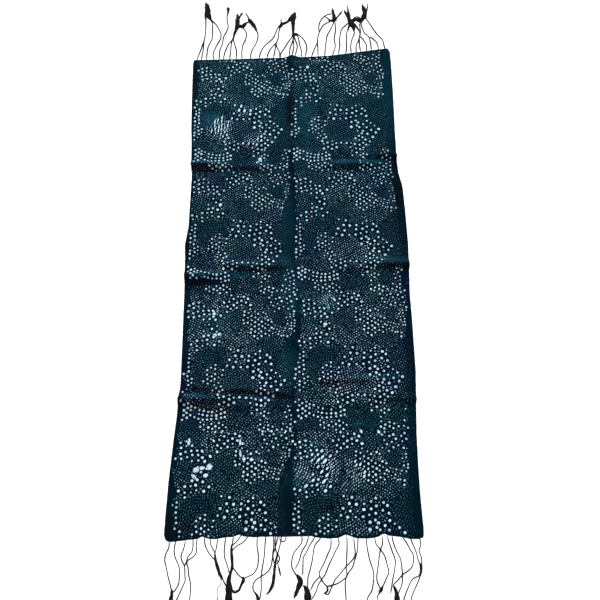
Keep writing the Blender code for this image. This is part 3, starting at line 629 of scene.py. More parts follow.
# How the looks vary: from and to of a noise or a place in metres, then the values there
PLUM_RANGE = (0.50, 0.66, 0.0, 0.7)
HAIR_RANGE = (0.35, 0.7)
FAR_TEAL_RANGE = (0.05, 0.55, 0.0, 0.6)
NEAR_TEAL_RANGE = (-0.62, -0.35, 0.65, 0.0)
FAR_PALE_RANGE = (-0.05, 0.30)
SIDE_LINE_RANGE = (0.3, 2.6, 0.6, 0.0)
# Painted shade in the low places of the weave, between the threads
WEAVE_GAP_SHADE_RANGE = (-1.0, -0.2, 0.22, 0.0)
CLOUDY_RANGE = (0.30, 0.62, 0.72, 1.0)
# How far dots dim in the painted shadow of the folds
PAINTED_SHADOW_DOT_RANGE = (0.0, 1.0, 1.0, 0.40)
PALE_TONE_RANGE = (0.5, 0.95)
CLOTH_ROUGH_RANGE = (0.3, 0.7, 0.52, 0.74)
YARN_ROUGH_RANGE = (0.0, 1.0, 0.70, 0.92)
# How fully the dark marks show: painted shade along the folds, and stains elsewhere
FOLD_SHARE = 0.95
HAIR_SHARE = 0.4
DOT_RAG = 0.34
THREAD_PITCH = 0.00050

# The camera: the photo's view, read from its creases and vanishing lines
CAMERA_PLACE = (0.0038, -0.7014, 1.4392)
CAMERA_DOWN = 67.6
CAMERA_TURN = 0.6
CAMERA_LENS = 42.0
CAMERA_SENSOR = 36.0

# The floor and the lights
FLOOR_HALF = 6.0
FLOOR_DROP = -0.0001
SKY_STRENGTH = 0.60
SKY_COLOUR = (0.95, 0.97, 1.0, 1.0)
KEY_PLACE = (-0.9, 5.0, 4.0)
KEY_SPREAD = 12.0
KEY_POWER = 2.9
KEY_COLOUR = (1.0, 0.99, 0.97)
AREA_LAMPS = table("name place size power colour", [
    ("fill", (0.6, -1.4, 3.0), 2.0, 20.0, (0.97, 0.98, 1.0)),
    ("floor_light", (0.0, 0.0, 4.0), 4.0, 260.0, (1.0, 1.0, 1.0)),
])


def eased(share):
    share = np.clip(share, 0.0, 1.0)
    return share * share * (3.0 - 2.0 * share)


def along_table(at, places, values):
    """Values between the rows of a table, eased from row to row."""
    places = np.array(places, float)
    values = np.array(values, float)
    row = np.clip(np.searchsorted(places, at, side="right") - 1, 0, len(places) - 2)
    share = (at - places[row]) / (places[row + 1] - places[row])
    return values[row] + (values[row + 1] - values[row]) * eased(share)


def edge_at(edge, at):
    """Where an edge of the cloth lies at a place along it, straight from row to row."""
    places, reaches = zip(*edge)
    return np.interp(at, places, reaches)


def chance(i, j, seed):
    """A steady random number from 0 to 1 for each cell of a grid. The factors only stir its digits."""
    value = np.sin(i * 127.1 + j * 311.7 + seed * 74.7) * 43758.5453
    return value - np.floor(value)


def waves(across, along, wide, long, seed):
    """Smooth random waves from 0 to 1."""
    u = across / wide
    v = along / long
    i = np.floor(u)
    j = np.floor(v)
    s = eased(u - i)
    t = eased(v - j)
    low = chance(i, j, seed) * (1 - s) + chance(i + 1, j, seed) * s
    high = chance(i, j + 1, seed) * (1 - s) + chance(i + 1, j + 1, seed) * s
    return low * (1 - t) + high * t


def crest_profile(away, slope):
    """From 1 on the crest to 0 at the foot, with a pinched crest."""
    share = np.clip(np.abs(away) / slope, 0.0, 1.0)
    return (1.0 - PINCH_SHARE) * (1.0 - eased(share)) + PINCH_SHARE * (1.0 - share) ** PINCH_POWER


def ridge_height(across, along, ridge):
    places, lines, heights = zip(*ridge.crest)
    inside = np.clip(across, places[0], places[-1])
    away = along - along_table(inside, places, lines)
    high = along_table(inside, places, heights)
    profile = crest_profile(away, np.where(away > 0, ridge.far_slope, ridge.near_slope))
    return np.where((across > places[0]) & (across < places[-1]), high * profile, 0.0)


def centre_height(across, along):
    lines, places, heights = zip(*CENTRE_CREASE)
    middle = along_table(along, places, lines)
    return along_table(along, places, heights) * crest_profile(across - middle, CENTRE_HALF)


def lift(across, along):
    """How high the underside stands at places on the cloth, in millimetres."""
    total = centre_height(across, along)
    for ridge in RIDGES:
        total = np.maximum(total, ridge_height(across, along, ridge))
    for wave in WAVES:
        total = total + wave.high * waves(across, along, wave.across, wave.along, wave.seed)
    return total


def stains_and_painted_fold_shading(across, along):
    """How dark, how brown and how pale the marks make each place: painted shade and painted highlights along
    the folds, and stains elsewhere.
    """
    small = waves(across, along, *SMALL_RAG_WAVES)
    large = waves(across, along, *LARGE_RAG_WAVES)
    ragged = RAG_LEAST + RAG_SWING * small * large**0.5
    marks = np.zeros((3, len(across)))
    for spot in STAINS_AND_PAINTED_FOLD_SHADING:
        turn = math.radians(spot.turn)
        x = across - spot.across
        y = along - spot.along
        u = (x * math.cos(turn) + y * math.sin(turn)) / (SPOT_SPREAD * spot.long)
        v = (y * math.cos(turn) - x * math.sin(turn)) / (SPOT_SPREAD * spot.wide)
        reach = ragged * (1.0 - eased((np.hypot(u, v) - SPOT_CORE) / SPOT_FADE))
        for mark, strength in zip(marks, (spot.dark, spot.brown, spot.pale)):
            np.maximum(mark, strength * reach, out=mark)
    return np.clip(np.stack(marks, axis=-1), 0.0, 1.0)


def arc_rows(patch):
    """The places of one patch's dots, on rows that follow arcs about the patch's own arc middle."""
    kind = patch.dots
    away = math.hypot(patch.across - patch.arc_across, patch.down - patch.arc_down)
    first = max(1, int((away - ARC_REACH * patch.reach) / kind.rows))
    last = int((away + ARC_REACH * patch.reach) / kind.rows) + 1
    for row in range(first, last + 1):
        radius = row * kind.rows
        count = max(3, int(round(2.0 * math.pi * radius / kind.pitch)))
        turn = 0.5 * (row % 2)
        for number in range(count):
            angle = 2.0 * math.pi * (number + turn) / count
            yield patch.arc_across + radius * math.cos(angle), patch.arc_down + radius * math.sin(angle)


def patch_distance(patch, across, down):
    """How far a place lies from a patch's middle, in the patch's reaches. Larger dots claim more."""
    reach = patch.reach
    if patch.dots.radius > FINE_RADIUS:
        reach *= LARGE_CLAIM
    return math.hypot(across - patch.across, down - patch.down) / reach


def nearest_patch(across, down):
    """The patch whose reach covers a place of the block best. Its borders waver a little."""
    shift = PATCH_WAVER * (waves(across, down, *PATCH_SHIFT_WAVES) - 0.5)
    drop = PATCH_WAVER * (waves(across, down, *PATCH_DROP_WAVES) - 0.5)
    return min(PATCHES, key=lambda patch: patch_distance(patch, across + shift, down + drop))


class Cells:
    """Things placed so far, in a grid of square cells, to find those near a place."""

    def __init__(self, size):
        self.size = size
        self.cells = {}

    def cell(self, x, y):
        return int(x // self.size), int(y // self.size)

    def near(self, x, y):
        i, j = self.cell(x, y)
        for a in (i - 1, i, i + 1):
            for b in (j - 1, j, j + 1):
                yield from self.cells.get((a, b), ())

    def add(self, x, y, *facts):
        self.cells.setdefault(self.cell(x, y), []).append((x, y, *facts))


def is_clear(placed, x, y, radius, gap=0.0):
    """True if no placed thing is nearer than the gap or, with no gap, than the room it asks for."""
    for u, v, other, room in placed.near(x, y):
        if math.hypot(x - u, y - v) < radius + other + (gap if gap > 0 else room):
            return False
    return True


BlockDot = namedtuple("BlockDot", "across down radius tone soft")
Dot = namedtuple("Dot", "across along long wide turn tone soft")


def block_dots():
    """All the dots of the printing block. Large ones are laid first, and small ones fill in."""
    rng = random.Random(BLOCK_SEED)
    placed = Cells(DOT_CELL)
    dots = []
    for patch in sorted(PATCHES, key=lambda p: -p.dots.radius):
        kind = patch.dots
        fine = kind.radius < FINE_RADIUS
        for across, down in arc_rows(patch):
            if not (BLOCK_FROM < across < BLOCK_TO and 0 < down < BLOCK_HIGH):
                continue
            owner = nearest_patch(across, down)
            fills_in = fine and owner.dots.radius > FINE_RADIUS
            if owner is not patch and not fills_in:
                continue
            across += rng.uniform(-1, 1) * kind.stray
            down += rng.uniform(-1, 1) * kind.stray
            size = SIZE_LEAST + SIZE_SWING * float(waves(across, down, *DOT_SIZE_WAVES))
            if fine:
                size = FINE_SIZE_LEAST + FINE_SIZE_SWING * size
            radius = kind.radius * size * rng.uniform(*SIZE_RANGE)
            if not fine and rng.random() < UNDERSIZED_SHARE:
                radius *= UNDERSIZED
            if rng.random() < MISSED_SHARE:
                continue
            if is_clear(placed, across, down, radius, 0.0 if fills_in else DOT_GAP * kind.pitch):
                placed.add(across, down, radius, FILL_ROOM * kind.pitch)
                dots.append(BlockDot(across, down, radius, kind.tone, kind.soft))
    return dots


def dragged(across, along, radius):
    """How a dot stretches where the paste was dragged: its half length, half width and turn."""
    for streak in STREAKS:
        share = 1.0 - math.hypot(across - streak.across, along - streak.along) / streak.reach
        if share > 0:
            stretch = 1.0 + (streak.stretch - 1.0) * min(1.0, STREAK_RISE * share)
            return radius * stretch, radius / stretch**STREAK_NARROWS, math.radians(streak.turn)
    return radius, radius, 0.0


def in_column(across, along, left_column, spare):
    """True if a dot lies inside its printed column, whose edges waver a little, or near enough to it."""
    rows = [c.along for c in COLUMNS]
    first = [c.left_from if left_column else c.right_from for c in COLUMNS]
    last = [c.left_to if left_column else c.right_to for c in COLUMNS]
    place = across + EDGE_WAVER * (waves(along, across, *COLUMN_WAVES) - 0.5)
    return np.interp(along, rows, first) - COLUMN_SPARE < place < np.interp(along, rows, last) + spare


def on_the_cloth(across, along, reach):
    """True if a dot lies inside the printed part of the cloth."""
    margin = PRINT_MARGIN_SIDE + reach
    if not edge_at(LEFT_EDGE, along) + margin < across < edge_at(RIGHT_EDGE, along) - margin:
        return False
    margin = PRINT_MARGIN_HEM + reach
    return edge_at(NEAR_HEM, across) + margin < along < edge_at(FAR_HEM, across) - margin


def printed_dot(dot, across, along, radius, last_ones, rng):
    """One dot as it came out: stretched where the paste was dragged, and strong or faint."""
    fine = dot.radius < FINE_RADIUS
    long, wide, turn = dragged(across, along, radius)
    tone = dot.tone * rng.uniform(*TONE_RANGE)
    far = float(eased((along - FADE_FROM) / FADE_REACH))
    if fine:
        tone *= rng.uniform(*FINE_TONE_RANGE) * (1.0 - FAR_FADE * far)
        tone *= TONE_LEAST + TONE_SWING * float(waves(across, along, *DOT_TONE_WAVES))
    else:
        tone *= 1.0 - FAR_FADE_LARGE * far
    if last_ones:
        tone *= LAST_TONE
    if long > (DRAGGED_FINE if fine else DRAGGED_LARGE) * wide:
        tone = min(1.0, DRAGGED_TONE * tone)
    if long == wide:
        long *= rng.uniform(*LONG_RANGE)
        turn = rng.uniform(0.0, math.pi)
    return Dot(across, along, long, wide, turn, tone, dot.soft)


def print_dots():
    """The block's dots as printed by every stamp, with the blots."""
    rng = random.Random(PRINT_SEED)
    chart = block_dots()
    dots = []
    for stamp in STAMPS:
        slant = math.radians(stamp.slant)
        left_column = stamp.across < RIGHT_COLUMN_FROM
        for dot in chart:
            u = dot.across * stamp.wide
            v = dot.down * stamp.high
            across = stamp.across + u * math.cos(slant) + v * math.sin(slant)
            along = stamp.along + u * math.sin(slant) - v * math.cos(slant)
            fine = dot.radius < FINE_RADIUS
            radius = dot.radius * (1.0 if fine else stamp.gain) * rng.uniform(*SIZE_RANGE)
            spare = LAST_DOTS if fine else COLUMN_SPARE
            if not (on_the_cloth(across, along, radius) and in_column(across, along, left_column, spare)):
                continue
            last_ones = not in_column(across, along, left_column, COLUMN_SPARE)
            dots.append(printed_dot(dot, across, along, radius, last_ones, rng))
    for blot in BLOTS:
        turn = math.radians(blot.turn)
        dots.append(Dot(blot.across, blot.along, blot.long, blot.wide, turn, BLOT_TONE, BLOT_SOFT))
    return dots


def dot_corners(dot):
    """The corners of the square patch of cloth that a dot is drawn on."""
    c = math.cos(dot.turn)
    s = math.sin(dot.turn)
    for u, v in ((-1, -1), (1, -1), (1, 1), (-1, 1)):
        a = u * dot.long * QUAD_HALF
        b = v * dot.wide * QUAD_HALF
        yield dot.across + a * c - b * s, dot.along + a * s + b * c


def outline_loop():
    """The cloth's outline, from its near left corner round to the right."""
    near_left = edge_at(LEFT_EDGE, NEAR_LEFT_ALONG)
    near_right = edge_at(RIGHT_EDGE, NEAR_RIGHT_ALONG)
    far_right = edge_at(RIGHT_EDGE, FAR_RIGHT_ALONG)
    far_left = edge_at(LEFT_EDGE, FAR_LEFT_ALONG)
    hem_count = int((near_right - near_left) / RIM_STEP)
    side_count = int((FAR_RIGHT_ALONG - NEAR_RIGHT_ALONG) / RIM_STEP)
    near = np.linspace(near_left, near_right, hem_count)
    right = np.linspace(NEAR_RIGHT_ALONG, FAR_RIGHT_ALONG, side_count)[1:]
    far = np.linspace(far_right, far_left, hem_count)[1:]
    left = np.linspace(FAR_LEFT_ALONG, NEAR_LEFT_ALONG, side_count)[1:-1]
    loop = [(x, float(edge_at(NEAR_HEM, x))) for x in near]
    loop += [(float(edge_at(RIGHT_EDGE, y)), y) for y in right]
    loop += [(x, float(edge_at(FAR_HEM, x))) for x in far]
    loop += [(float(edge_at(LEFT_EDGE, y)), y) for y in left]
    rng = random.Random(OUTLINE_SEED)
    dx, dy = RIM_LOOSE
    return [(x + rng.uniform(-dx, dx), y + rng.uniform(-dy, dy)) for x, y in loop]


def grid_points(open_step, crease_step):
    """Places inside the outline, closer together along the folds."""
    points = []
    along = GRID_FROM
    row = 0
    while along < GRID_TO:
        creased = min(abs(along - line) for line in CREASE_LINES) < CREASE_REACH
        wide = CREASE_WIDEN * crease_step if creased else open_step
        left = float(edge_at(LEFT_EDGE, along)) + GRID_MARGIN
        right = float(edge_at(RIGHT_EDGE, along)) - GRID_MARGIN
        count = int((right - left) / wide)
        for number in range(count + 1):
            across = left + (right - left) * number / count
            near = float(edge_at(NEAR_HEM, across)) + GRID_MARGIN
            if near < along < float(edge_at(FAR_HEM, across)) - GRID_MARGIN:
                points.append((across + GRID_SHIFT * wide * (row % 2) * (0 < number < count), along))
        along += crease_step if creased else open_step
        row += 1
    return points


def between_dots(points, dots):
    """The points that lie clear of every dot's patch of cloth."""
    placed = Cells(GRID_CELL)
    for dot in dots:
        placed.add(dot.across, dot.along, DOT_CORNER_REACH * max(dot.long, dot.wide), GRID_CLEAR)
    return [(x, y) for x, y in points if is_clear(placed, x, y, 0.0)]


def triangulated(loop, dots, points):
    """Triangles over the outline that keep each dot's patch. Returns places, triangles, the dots under
    each triangle, and where each point of the outline went."""
    coords = [Vector(p) for p in loop]
    faces = [list(range(len(loop)))]
    for dot in dots:
        first = len(coords)
        coords += [Vector(p) for p in dot_corners(dot)]
        faces.append([first, first + 1, first + 2, first + 3])
    coords += [Vector(p) for p in points]
    made = delaunay_2d_cdt(coords, [], faces, INSIDE_ONLY, MERGED_GAP, True)
    places, _, triangles, came_from, _, owners = made
    inside = [index for index, sources in enumerate(owners) if 0 in sources]
    triangles = [triangles[index] for index in inside]
    owners = [owners[index] for index in inside]
    went = {source: index for index, sources in enumerate(came_from) for source in sources}
    return np.array([tuple(p) for p in places]), triangles, owners, [went[i] for i in range(len(loop))]


def dot_of_triangles(places, triangles, owners, dots):
    """For each triangle the dot it belongs to, or -1. Where dots overlap, the nearest one wins."""
    own = np.full(len(triangles), -1)
    for index, sources in enumerate(owners):
        under = [source - 1 for source in sources if source > 0]
        if len(under) > 1:
            x, y = places[list(triangles[index])].mean(axis=0)
            under.sort(key=lambda k: math.hypot(x - dots[k].across, y - dots[k].along) / dots[k].wide)
        if under:
            own[index] = under[0]
    return own


def dot_coordinates(places, triangles, own, dots):
    """For each corner of each triangle, its place in its dot in half lengths and half widths, with the
    dot's tone and softness."""
    mine = Dot(*np.array(dots)[np.maximum(own, 0)].T[:, :, None])
    corners = places[np.array(triangles)]
    x = corners[:, :, 0] - mine.across
    y = corners[:, :, 1] - mine.along
    c = np.cos(mine.turn)
    s = np.sin(mine.turn)
    outside = (own < 0)[:, None]
    u = np.where(outside, NO_DOT, (x * c + y * s) / mine.long)
    v = np.where(outside, NO_DOT, (y * c - x * s) / mine.wide)
    tone = np.broadcast_to(mine.tone, u.shape)
    soft = np.broadcast_to(mine.soft, u.shape)
    return np.stack([u, v, tone], axis=-1).reshape(-1, 3), soft.reshape(-1)


def slope_normals(places):
    """The surface's normals from its slopes, so that the shading doesn't show the triangles."""
    x, y = places.T
    step = SLOPE_STEP
    dx = (lift(x + step, y) - lift(x - step, y)) / (2.0 * step)
    dy = (lift(x, y + step) - lift(x, y - step)) / (2.0 * step)
    normals = np.stack([-dx, -dy, np.ones_like(dx)], axis=-1)
    return normals / np.linalg.norm(normals, axis=1, keepdims=True)


def add_attribute(mesh, name, kind, domain, values):
    key = "vector" if kind == "FLOAT_VECTOR" else "value"
    layer = mesh.attributes.new(name, kind, domain)
    layer.data.foreach_set(key, np.ascontiguousarray(values, dtype=np.float32).ravel())


def side_distance(places):
    """How far each place lies from the nearer side edge."""
    x, y = places.T
    return np.minimum(x - edge_at(LEFT_EDGE, y), edge_at(RIGHT_EDGE, y) - x)


def linked(name, data):
    made = bpy.data.objects.new(name, data)
    bpy.context.scene.collection.objects.link(made)
    return made


def in_metres(places, heights):
    """Points of the row frame from places and heights in millimetres."""
    return np.column_stack([(places - np.array(MIDDLE)) * MM, heights * MM]).tolist()


def point_of_corners(mesh):
    corners = np.empty(len(mesh.loops), np.int32)
    mesh.loops.foreach_get("vertex_index", corners)
    return corners


def bake_map(mesh, places, upper_count):
    """A flat map of both faces of the sheet side by side."""
    low = places.min(axis=0)
    high = places.max(axis=0)
    scale = MAP_SHARE / (high[1] - low[1])
    uv = (places - low) * scale + MAP_MARGIN
    uv[upper_count:, 0] += MAP_UNDERSIDE
    layer = mesh.uv_layers.new(name="OFBake")
    layer.data.foreach_set("uv", uv[point_of_corners(mesh)].astype(np.float32).ravel())


def set_normals(mesh, places, start, rim_count):
    """Smooth normals from the slopes on both faces of the sheet, and flat ones on its rim."""
    normals = slope_normals(places)
    normals[start:] *= -1.0
    by_corner = normals[point_of_corners(mesh)]
    count = len(mesh.polygons)
    flat = np.array([mesh.polygons[i].normal for i in range(count - rim_count, count)])
    by_corner[-RIM_CORNERS * rim_count:] = np.repeat(flat, RIM_CORNERS, axis=0)
    mesh.shade_smooth()
    mesh.normals_split_custom_set(by_corner.tolist())


def cloth_mesh():
    """The sheet: its upper face carries the print, its underside is coarser, and a rim joins the two."""
    dots = print_dots()
    loop = outline_loop()
    grid = between_dots(grid_points(OPEN_STEP, CREASE_STEP), dots)
    upper, upper_faces, owners, upper_rim = triangulated(loop, dots, grid)
    coarse = grid_points(UNDERSIDE_STEP, UNDERSIDE_CREASE_STEP)
    lower, lower_faces, _, lower_rim = triangulated(loop, [], coarse)
    own = dot_of_triangles(upper, upper_faces, owners, dots)
    print_place, print_soft = dot_coordinates(upper, upper_faces, own, dots)

    start = len(upper)
    places = np.concatenate([upper, lower])
    up = lift(places[:, 0], places[:, 1])
    up[:start] += SHEET_THICK
    faces = [tuple(f) for f in upper_faces]
    faces += [tuple(start + i for i in reversed(f)) for f in lower_faces]
    for here in range(len(loop)):
        after = (here + 1) % len(loop)
        faces.append((upper_rim[here], start + lower_rim[here], start + lower_rim[after], upper_rim[after]))

    mesh = bpy.data.meshes.new("cloth_sheet")
    mesh.from_pydata(in_metres(places, up), [], faces)
    dot_values = np.tile([NO_DOT, NO_DOT, 0.0], (len(mesh.loops), 1))
    dot_values[: len(print_place)] = print_place
    soft_values = np.full(len(mesh.loops), NO_DOT_SOFT)
    soft_values[: len(print_soft)] = print_soft
    add_attribute(mesh, "dot", "FLOAT_VECTOR", "CORNER", dot_values)
    add_attribute(mesh, "soft", "FLOAT", "CORNER", soft_values)
    # Painted shade and painted highlights along the folds, and stains elsewhere, as dark, brown and pale per
    # point
    add_attribute(mesh, "painted_fold_shading_and_stains", "FLOAT_VECTOR", "POINT", stains_and_painted_fold_shading(places[:, 0], places[:, 1]))
    add_attribute(mesh, "side", "FLOAT", "POINT", side_distance(places))
    bake_map(mesh, places, start)
    set_normals(mesh, places, start, len(loop))
    return mesh


def smooth_path(points, step):
    """A smooth curve through the points, cut into even steps."""
    points = np.array(points, float)
    ends = np.vstack([2 * points[0] - points[1], points, 2 * points[-1] - points[-2]])
    curve = []
    for i in range(1, len(ends) - 2):
        p0, p1, p2, p3 = ends[i - 1 : i + 3]
        bend = 2 * p0 - 5 * p1 + 4 * p2 - p3
        twist = 3 * p1 - p0 - 3 * p2 + p3
        for t in np.linspace(0, 1, CURVE_CUTS, endpoint=False):
            curve.append(p1 + 0.5 * ((p2 - p0) * t + bend * t**2 + twist * t**3))
    curve = np.array(curve + [points[-1]])
    length = np.concatenate([[0.0], np.cumsum(np.linalg.norm(np.diff(curve[:, :2], axis=0), axis=1))])
    count = max(3, int(length[-1] / step))
    at = np.linspace(0, length[-1], count + 1)
    return at, np.stack([np.interp(at, length, column) for column in curve.T], axis=-1)


def directions(line):
    """The way ahead along a line of places."""
    ahead = np.gradient(line, axis=0)
    return ahead / np.linalg.norm(ahead, axis=1, keepdims=True)


def frames_along(line):
    """The sideways and upward directions along a line of places."""
    ahead = directions(line)
    side = np.column_stack([ahead[:, 1], -ahead[:, 0], np.zeros(len(line))])
    side /= np.linalg.norm(side, axis=1, keepdims=True)
    return side, np.cross(side, ahead)


def round_angles(sides):
    return np.linspace(0, 2 * np.pi, sides, endpoint=False)


class Skin:
    """Points, faces and a tone for each point, gathered for one mesh."""

    def __init__(self):
        self.points = []
        self.faces = []
        self.tones = []
        self.count = 0

    def add_tube(self, line, out, over, tone):
        """A closed tube round a line, whose points lie so far out to its side and over it."""
        side, up = frames_along(line)
        rings = line[:, None, :] + side[:, None, :] * out[:, :, None] + up[:, None, :] * over[:, :, None]
        rings[:, :, 2] = np.maximum(rings[:, :, 2], FLOOR_GAP)
        levels, sides, _ = rings.shape
        first = self.count
        self.points.append(rings.reshape(-1, 3))
        self.tones.append(np.full(levels * sides, tone))
        self.count += levels * sides
        for level in range(levels - 1):
            a = first + level * sides
            for k in range(sides):
                n = (k + 1) % sides
                self.faces.append((a + k, a + n, a + sides + n, a + sides + k))
        self.faces.append(tuple(first + k for k in reversed(range(sides))))
        self.faces.append(tuple(self.count - sides + k for k in range(sides)))

    def mesh(self, name):
        made = bpy.data.meshes.new(name)
        points = np.concatenate(self.points)
        made.from_pydata(in_metres(points[:, :2], points[:, 2]), [], self.faces)
        made.shade_smooth()
        add_attribute(made, "tone", "FLOAT", "POINT", np.concatenate(self.tones))
        return made


def add_ply_yarn(skin, at, line, radius, tone, start_turn):
    """A yarn of two plies twisted together: a tube with two lobes that turn along it."""
    angles = round_angles(YARN_SIDES)
    twist = start_turn + 2 * np.pi * at / PLY_PITCH
    lobes = 1.0 - PLY_LOBE + PLY_LOBE * np.abs(np.cos(angles[None, :] - twist[:, None]))
    reach = radius[:, None] * lobes
    skin.add_tube(line, reach * np.cos(angles), reach * np.sin(angles), tone)


def add_fibre(skin, line, radius, tone):
    """One thin fibre that tapers to its end."""
    angles = round_angles(FIBRE_SIDES)
    taper = (radius * (1.0 - FIBRE_TAPER * np.linspace(0, 1, len(line)) ** 2))[:, None]
    skin.add_tube(line, taper * np.cos(angles), taper * np.sin(angles), tone)


def height_over(pile, x, y, radius):
    """How high a yarn's middle is where it lies on the yarns already there, or 0 where there are none."""
    most = 0.0
    for u, v, w, other in pile.near(x, y):
        room = (radius + other) ** 2 - (x - u) ** 2 - (y - v) ** 2
        if room > 0:
            most = max(most, w + math.sqrt(room))
    return most


def settled(at, flat, radius, pile):
    """The height of a yarn's middle: out of the sheet's edge, down to the surface, over others."""
    root_up = lift(flat[:1, 0], flat[:1, 1])[0] + 0.5 * SHEET_THICK
    rest = radius + FLOOR_GAP
    height = rest + (root_up - rest) * (1.0 - eased((at - ROOT_FROM) / ROOT_FALL))
    for i, (x, y) in enumerate(flat):
        if RIDE_FROM < at[i] < at[-1] - RIDE_TO:
            height[i] = max(height[i], min(height_over(pile, x, y, radius[i]), HIGHEST_RIDE))
    step = at[1] - at[0]
    for i in range(1, len(height)):
        height[i] = max(height[i], height[i - 1] - CLIMB * step)
    for i in range(len(height) - 2, -1, -1):
        if at[i] > ROOT_HELD:
            height[i] = max(height[i], height[i + 1] - CLIMB * step)
    padded = np.pad(height, SMOOTHED_RINGS // 2, mode="edge")
    return np.convolve(padded, np.ones(SMOOTHED_RINGS) / SMOOTHED_RINGS, mode="valid")


def growth(away, least, rest, reach):
    return least + rest * eased(away / reach)


def lay_yarn(skin, thick, points, pile, rng):
    """One warp yarn from inside the hem to its tip, with a few loose fibres at the tip."""
    at, flat = smooth_path(points, RING_STEP)
    sway = np.sin(at / rng.uniform(*WOBBLE_PITCH) + rng.uniform(*PHASE))
    wobble = WOBBLE * sway * eased(at / WOBBLE_FROM)
    ahead = directions(flat)
    flat = flat + wobble[:, None] * np.column_stack([ahead[:, 1], -ahead[:, 0]])
    radius = 0.5 * thick * growth(at, *ROOT_GROWTH) * growth(at[-1] - at, *TIP_GROWTH)
    radius = radius * (1.0 + SWELL * np.sin(at / rng.uniform(*SWELL_PITCH) + rng.uniform(*PHASE)))
    line = np.column_stack([flat, settled(at, flat, radius, pile)])
    for (x, y, z), r in zip(line[::2], radius[::2]):
        pile.add(x, y, z, r)
    tone = rng.random()
    add_ply_yarn(skin, at, line, radius, tone, rng.uniform(*PHASE))
    add_frayed_tip(skin, line, tone, rng)


def add_frayed_tip(skin, line, tone, rng):
    ahead = line[-1] - line[-TIP_AIM_RING]
    ahead = ahead / np.linalg.norm(ahead)
    side = np.array([ahead[1], -ahead[0], 0.0])
    steps = np.linspace(0, 1, TIP_STEPS)[:, None]
    for _ in range(TIP_FIBRES):
        spread = rng.uniform(*TIP_SPREAD)
        reach = rng.uniform(*TIP_REACH)
        bend = rng.uniform(*TIP_BEND)
        aside = side * reach * (spread * steps + bend * steps**2)
        fibre = line[-TIP_FROM_RING] + ahead * reach * steps + aside
        fibre[:, 2] = np.maximum(TIP_LOW, fibre[:, 2] * (1 - TIP_SINKS * steps[:, 0]))
        add_fibre(skin, fibre, TIP_RADIUS, tone)


Lock = namedtuple("Lock", "at line wide high side up")


def lock_lines(knots):
    """A lock's middle line, its width and height along it, and its directions."""
    at, flat = smooth_path([(x, y, LOCK_FULL * wide) for x, y, wide in knots], LOCK_STEP)
    wide = np.maximum(flat[:, 2], LOCK_THINNEST)
    high = np.maximum(LOCK_FLAT * wide, np.minimum(LOCK_LOW, wide))
    line = np.column_stack([flat[:, 0], flat[:, 1], 0.5 * high + LOCK_GAP])
    return Lock(at, line, wide, high, *frames_along(line))


def add_lock(skin, knots, rng):
    """A matted lock: a lumpy core, ropy fibre bundles over it, and stray hairs that leave its tip."""
    lock = lock_lines(knots)
    at = lock.at[:, None]
    angles = round_angles(LOCK_SIDES)
    seed = rng.random() * LOCK_SEEDS
    grain = chance(np.round(at / GRAIN_PITCH), np.arange(LOCK_SIDES)[None, :], seed)
    swell = np.sin(LUMPS_ROUND * angles[None, :] + at / LUMP_PITCH + seed)
    lump = LUMP_LEAST + LUMP * swell + LUMP * grain
    out = 0.5 * lock.wide[:, None] * lump * np.cos(angles)
    over = 0.5 * lock.high[:, None] * lump * np.sin(angles)
    skin.add_tube(lock.line, out, over, CORE_TONE + CORE_TONE_SWING * rng.random())
    for _ in range(int(BUNDLES_LEAST + BUNDLES_BY_WIDTH * lock.wide.max())):
        add_lock_bundle(skin, lock, rng)


def add_lock_bundle(skin, lock, rng):
    """One ropy bundle of fibres that runs along a lock and may stray from it near its tip."""
    count = len(lock.at)
    start = int(rng.uniform(0.0, BUNDLE_LATE_START) * count)
    end = count - int(rng.uniform(0.0, BUNDLE_EARLY_END) * count)
    if end - start < BUNDLE_SHORTEST:
        return
    here, line, wide, high, side, up = (values[start:end] for values in lock)
    share = (here - here[0]) / (here[-1] - here[0])
    twist = rng.uniform(0, 2 * np.pi) + here / rng.uniform(*BUNDLE_TURN)
    angle = twist + BUNDLE_SWAY * np.sin(here / rng.uniform(*BUNDLE_SWAY_PITCH))
    stray = rng.uniform(*STRAY_REACH) if rng.random() < STRAY_SHARE else 0.0
    leaving = stray * share**STRAY_LATE / np.maximum(STRAY_BY_WIDTH * wide, LOCK_THINNEST)
    out = BUNDLE_OUT + BUNDLE_RIPPLE * np.sin(here / RIPPLE_PITCH) + leaving
    x = (0.5 * wide * out * np.cos(angle))[:, None]
    z = (0.5 * high * out * np.sin(angle))[:, None]
    path = line + side * x + up * z
    path[:, 2] = np.maximum(path[:, 2], BUNDLE_LIFT)
    add_fibre(skin, path, rng.uniform(*BUNDLE_RADIUS), rng.random())


def fringe_mesh(name, fringe_yarns, locks, seed):
    """One end's fringe: warp yarns laid one over the other, then the locks that mat their tips."""
    rng = random.Random(seed)
    skin = Skin()
    pile = Cells(YARN_CELL)
    for thick, points in fringe_yarns:
        lay_yarn(skin, thick, points, pile, rng)
    for knots in locks:
        add_lock(skin, knots, rng)
    return skin.mesh(name)


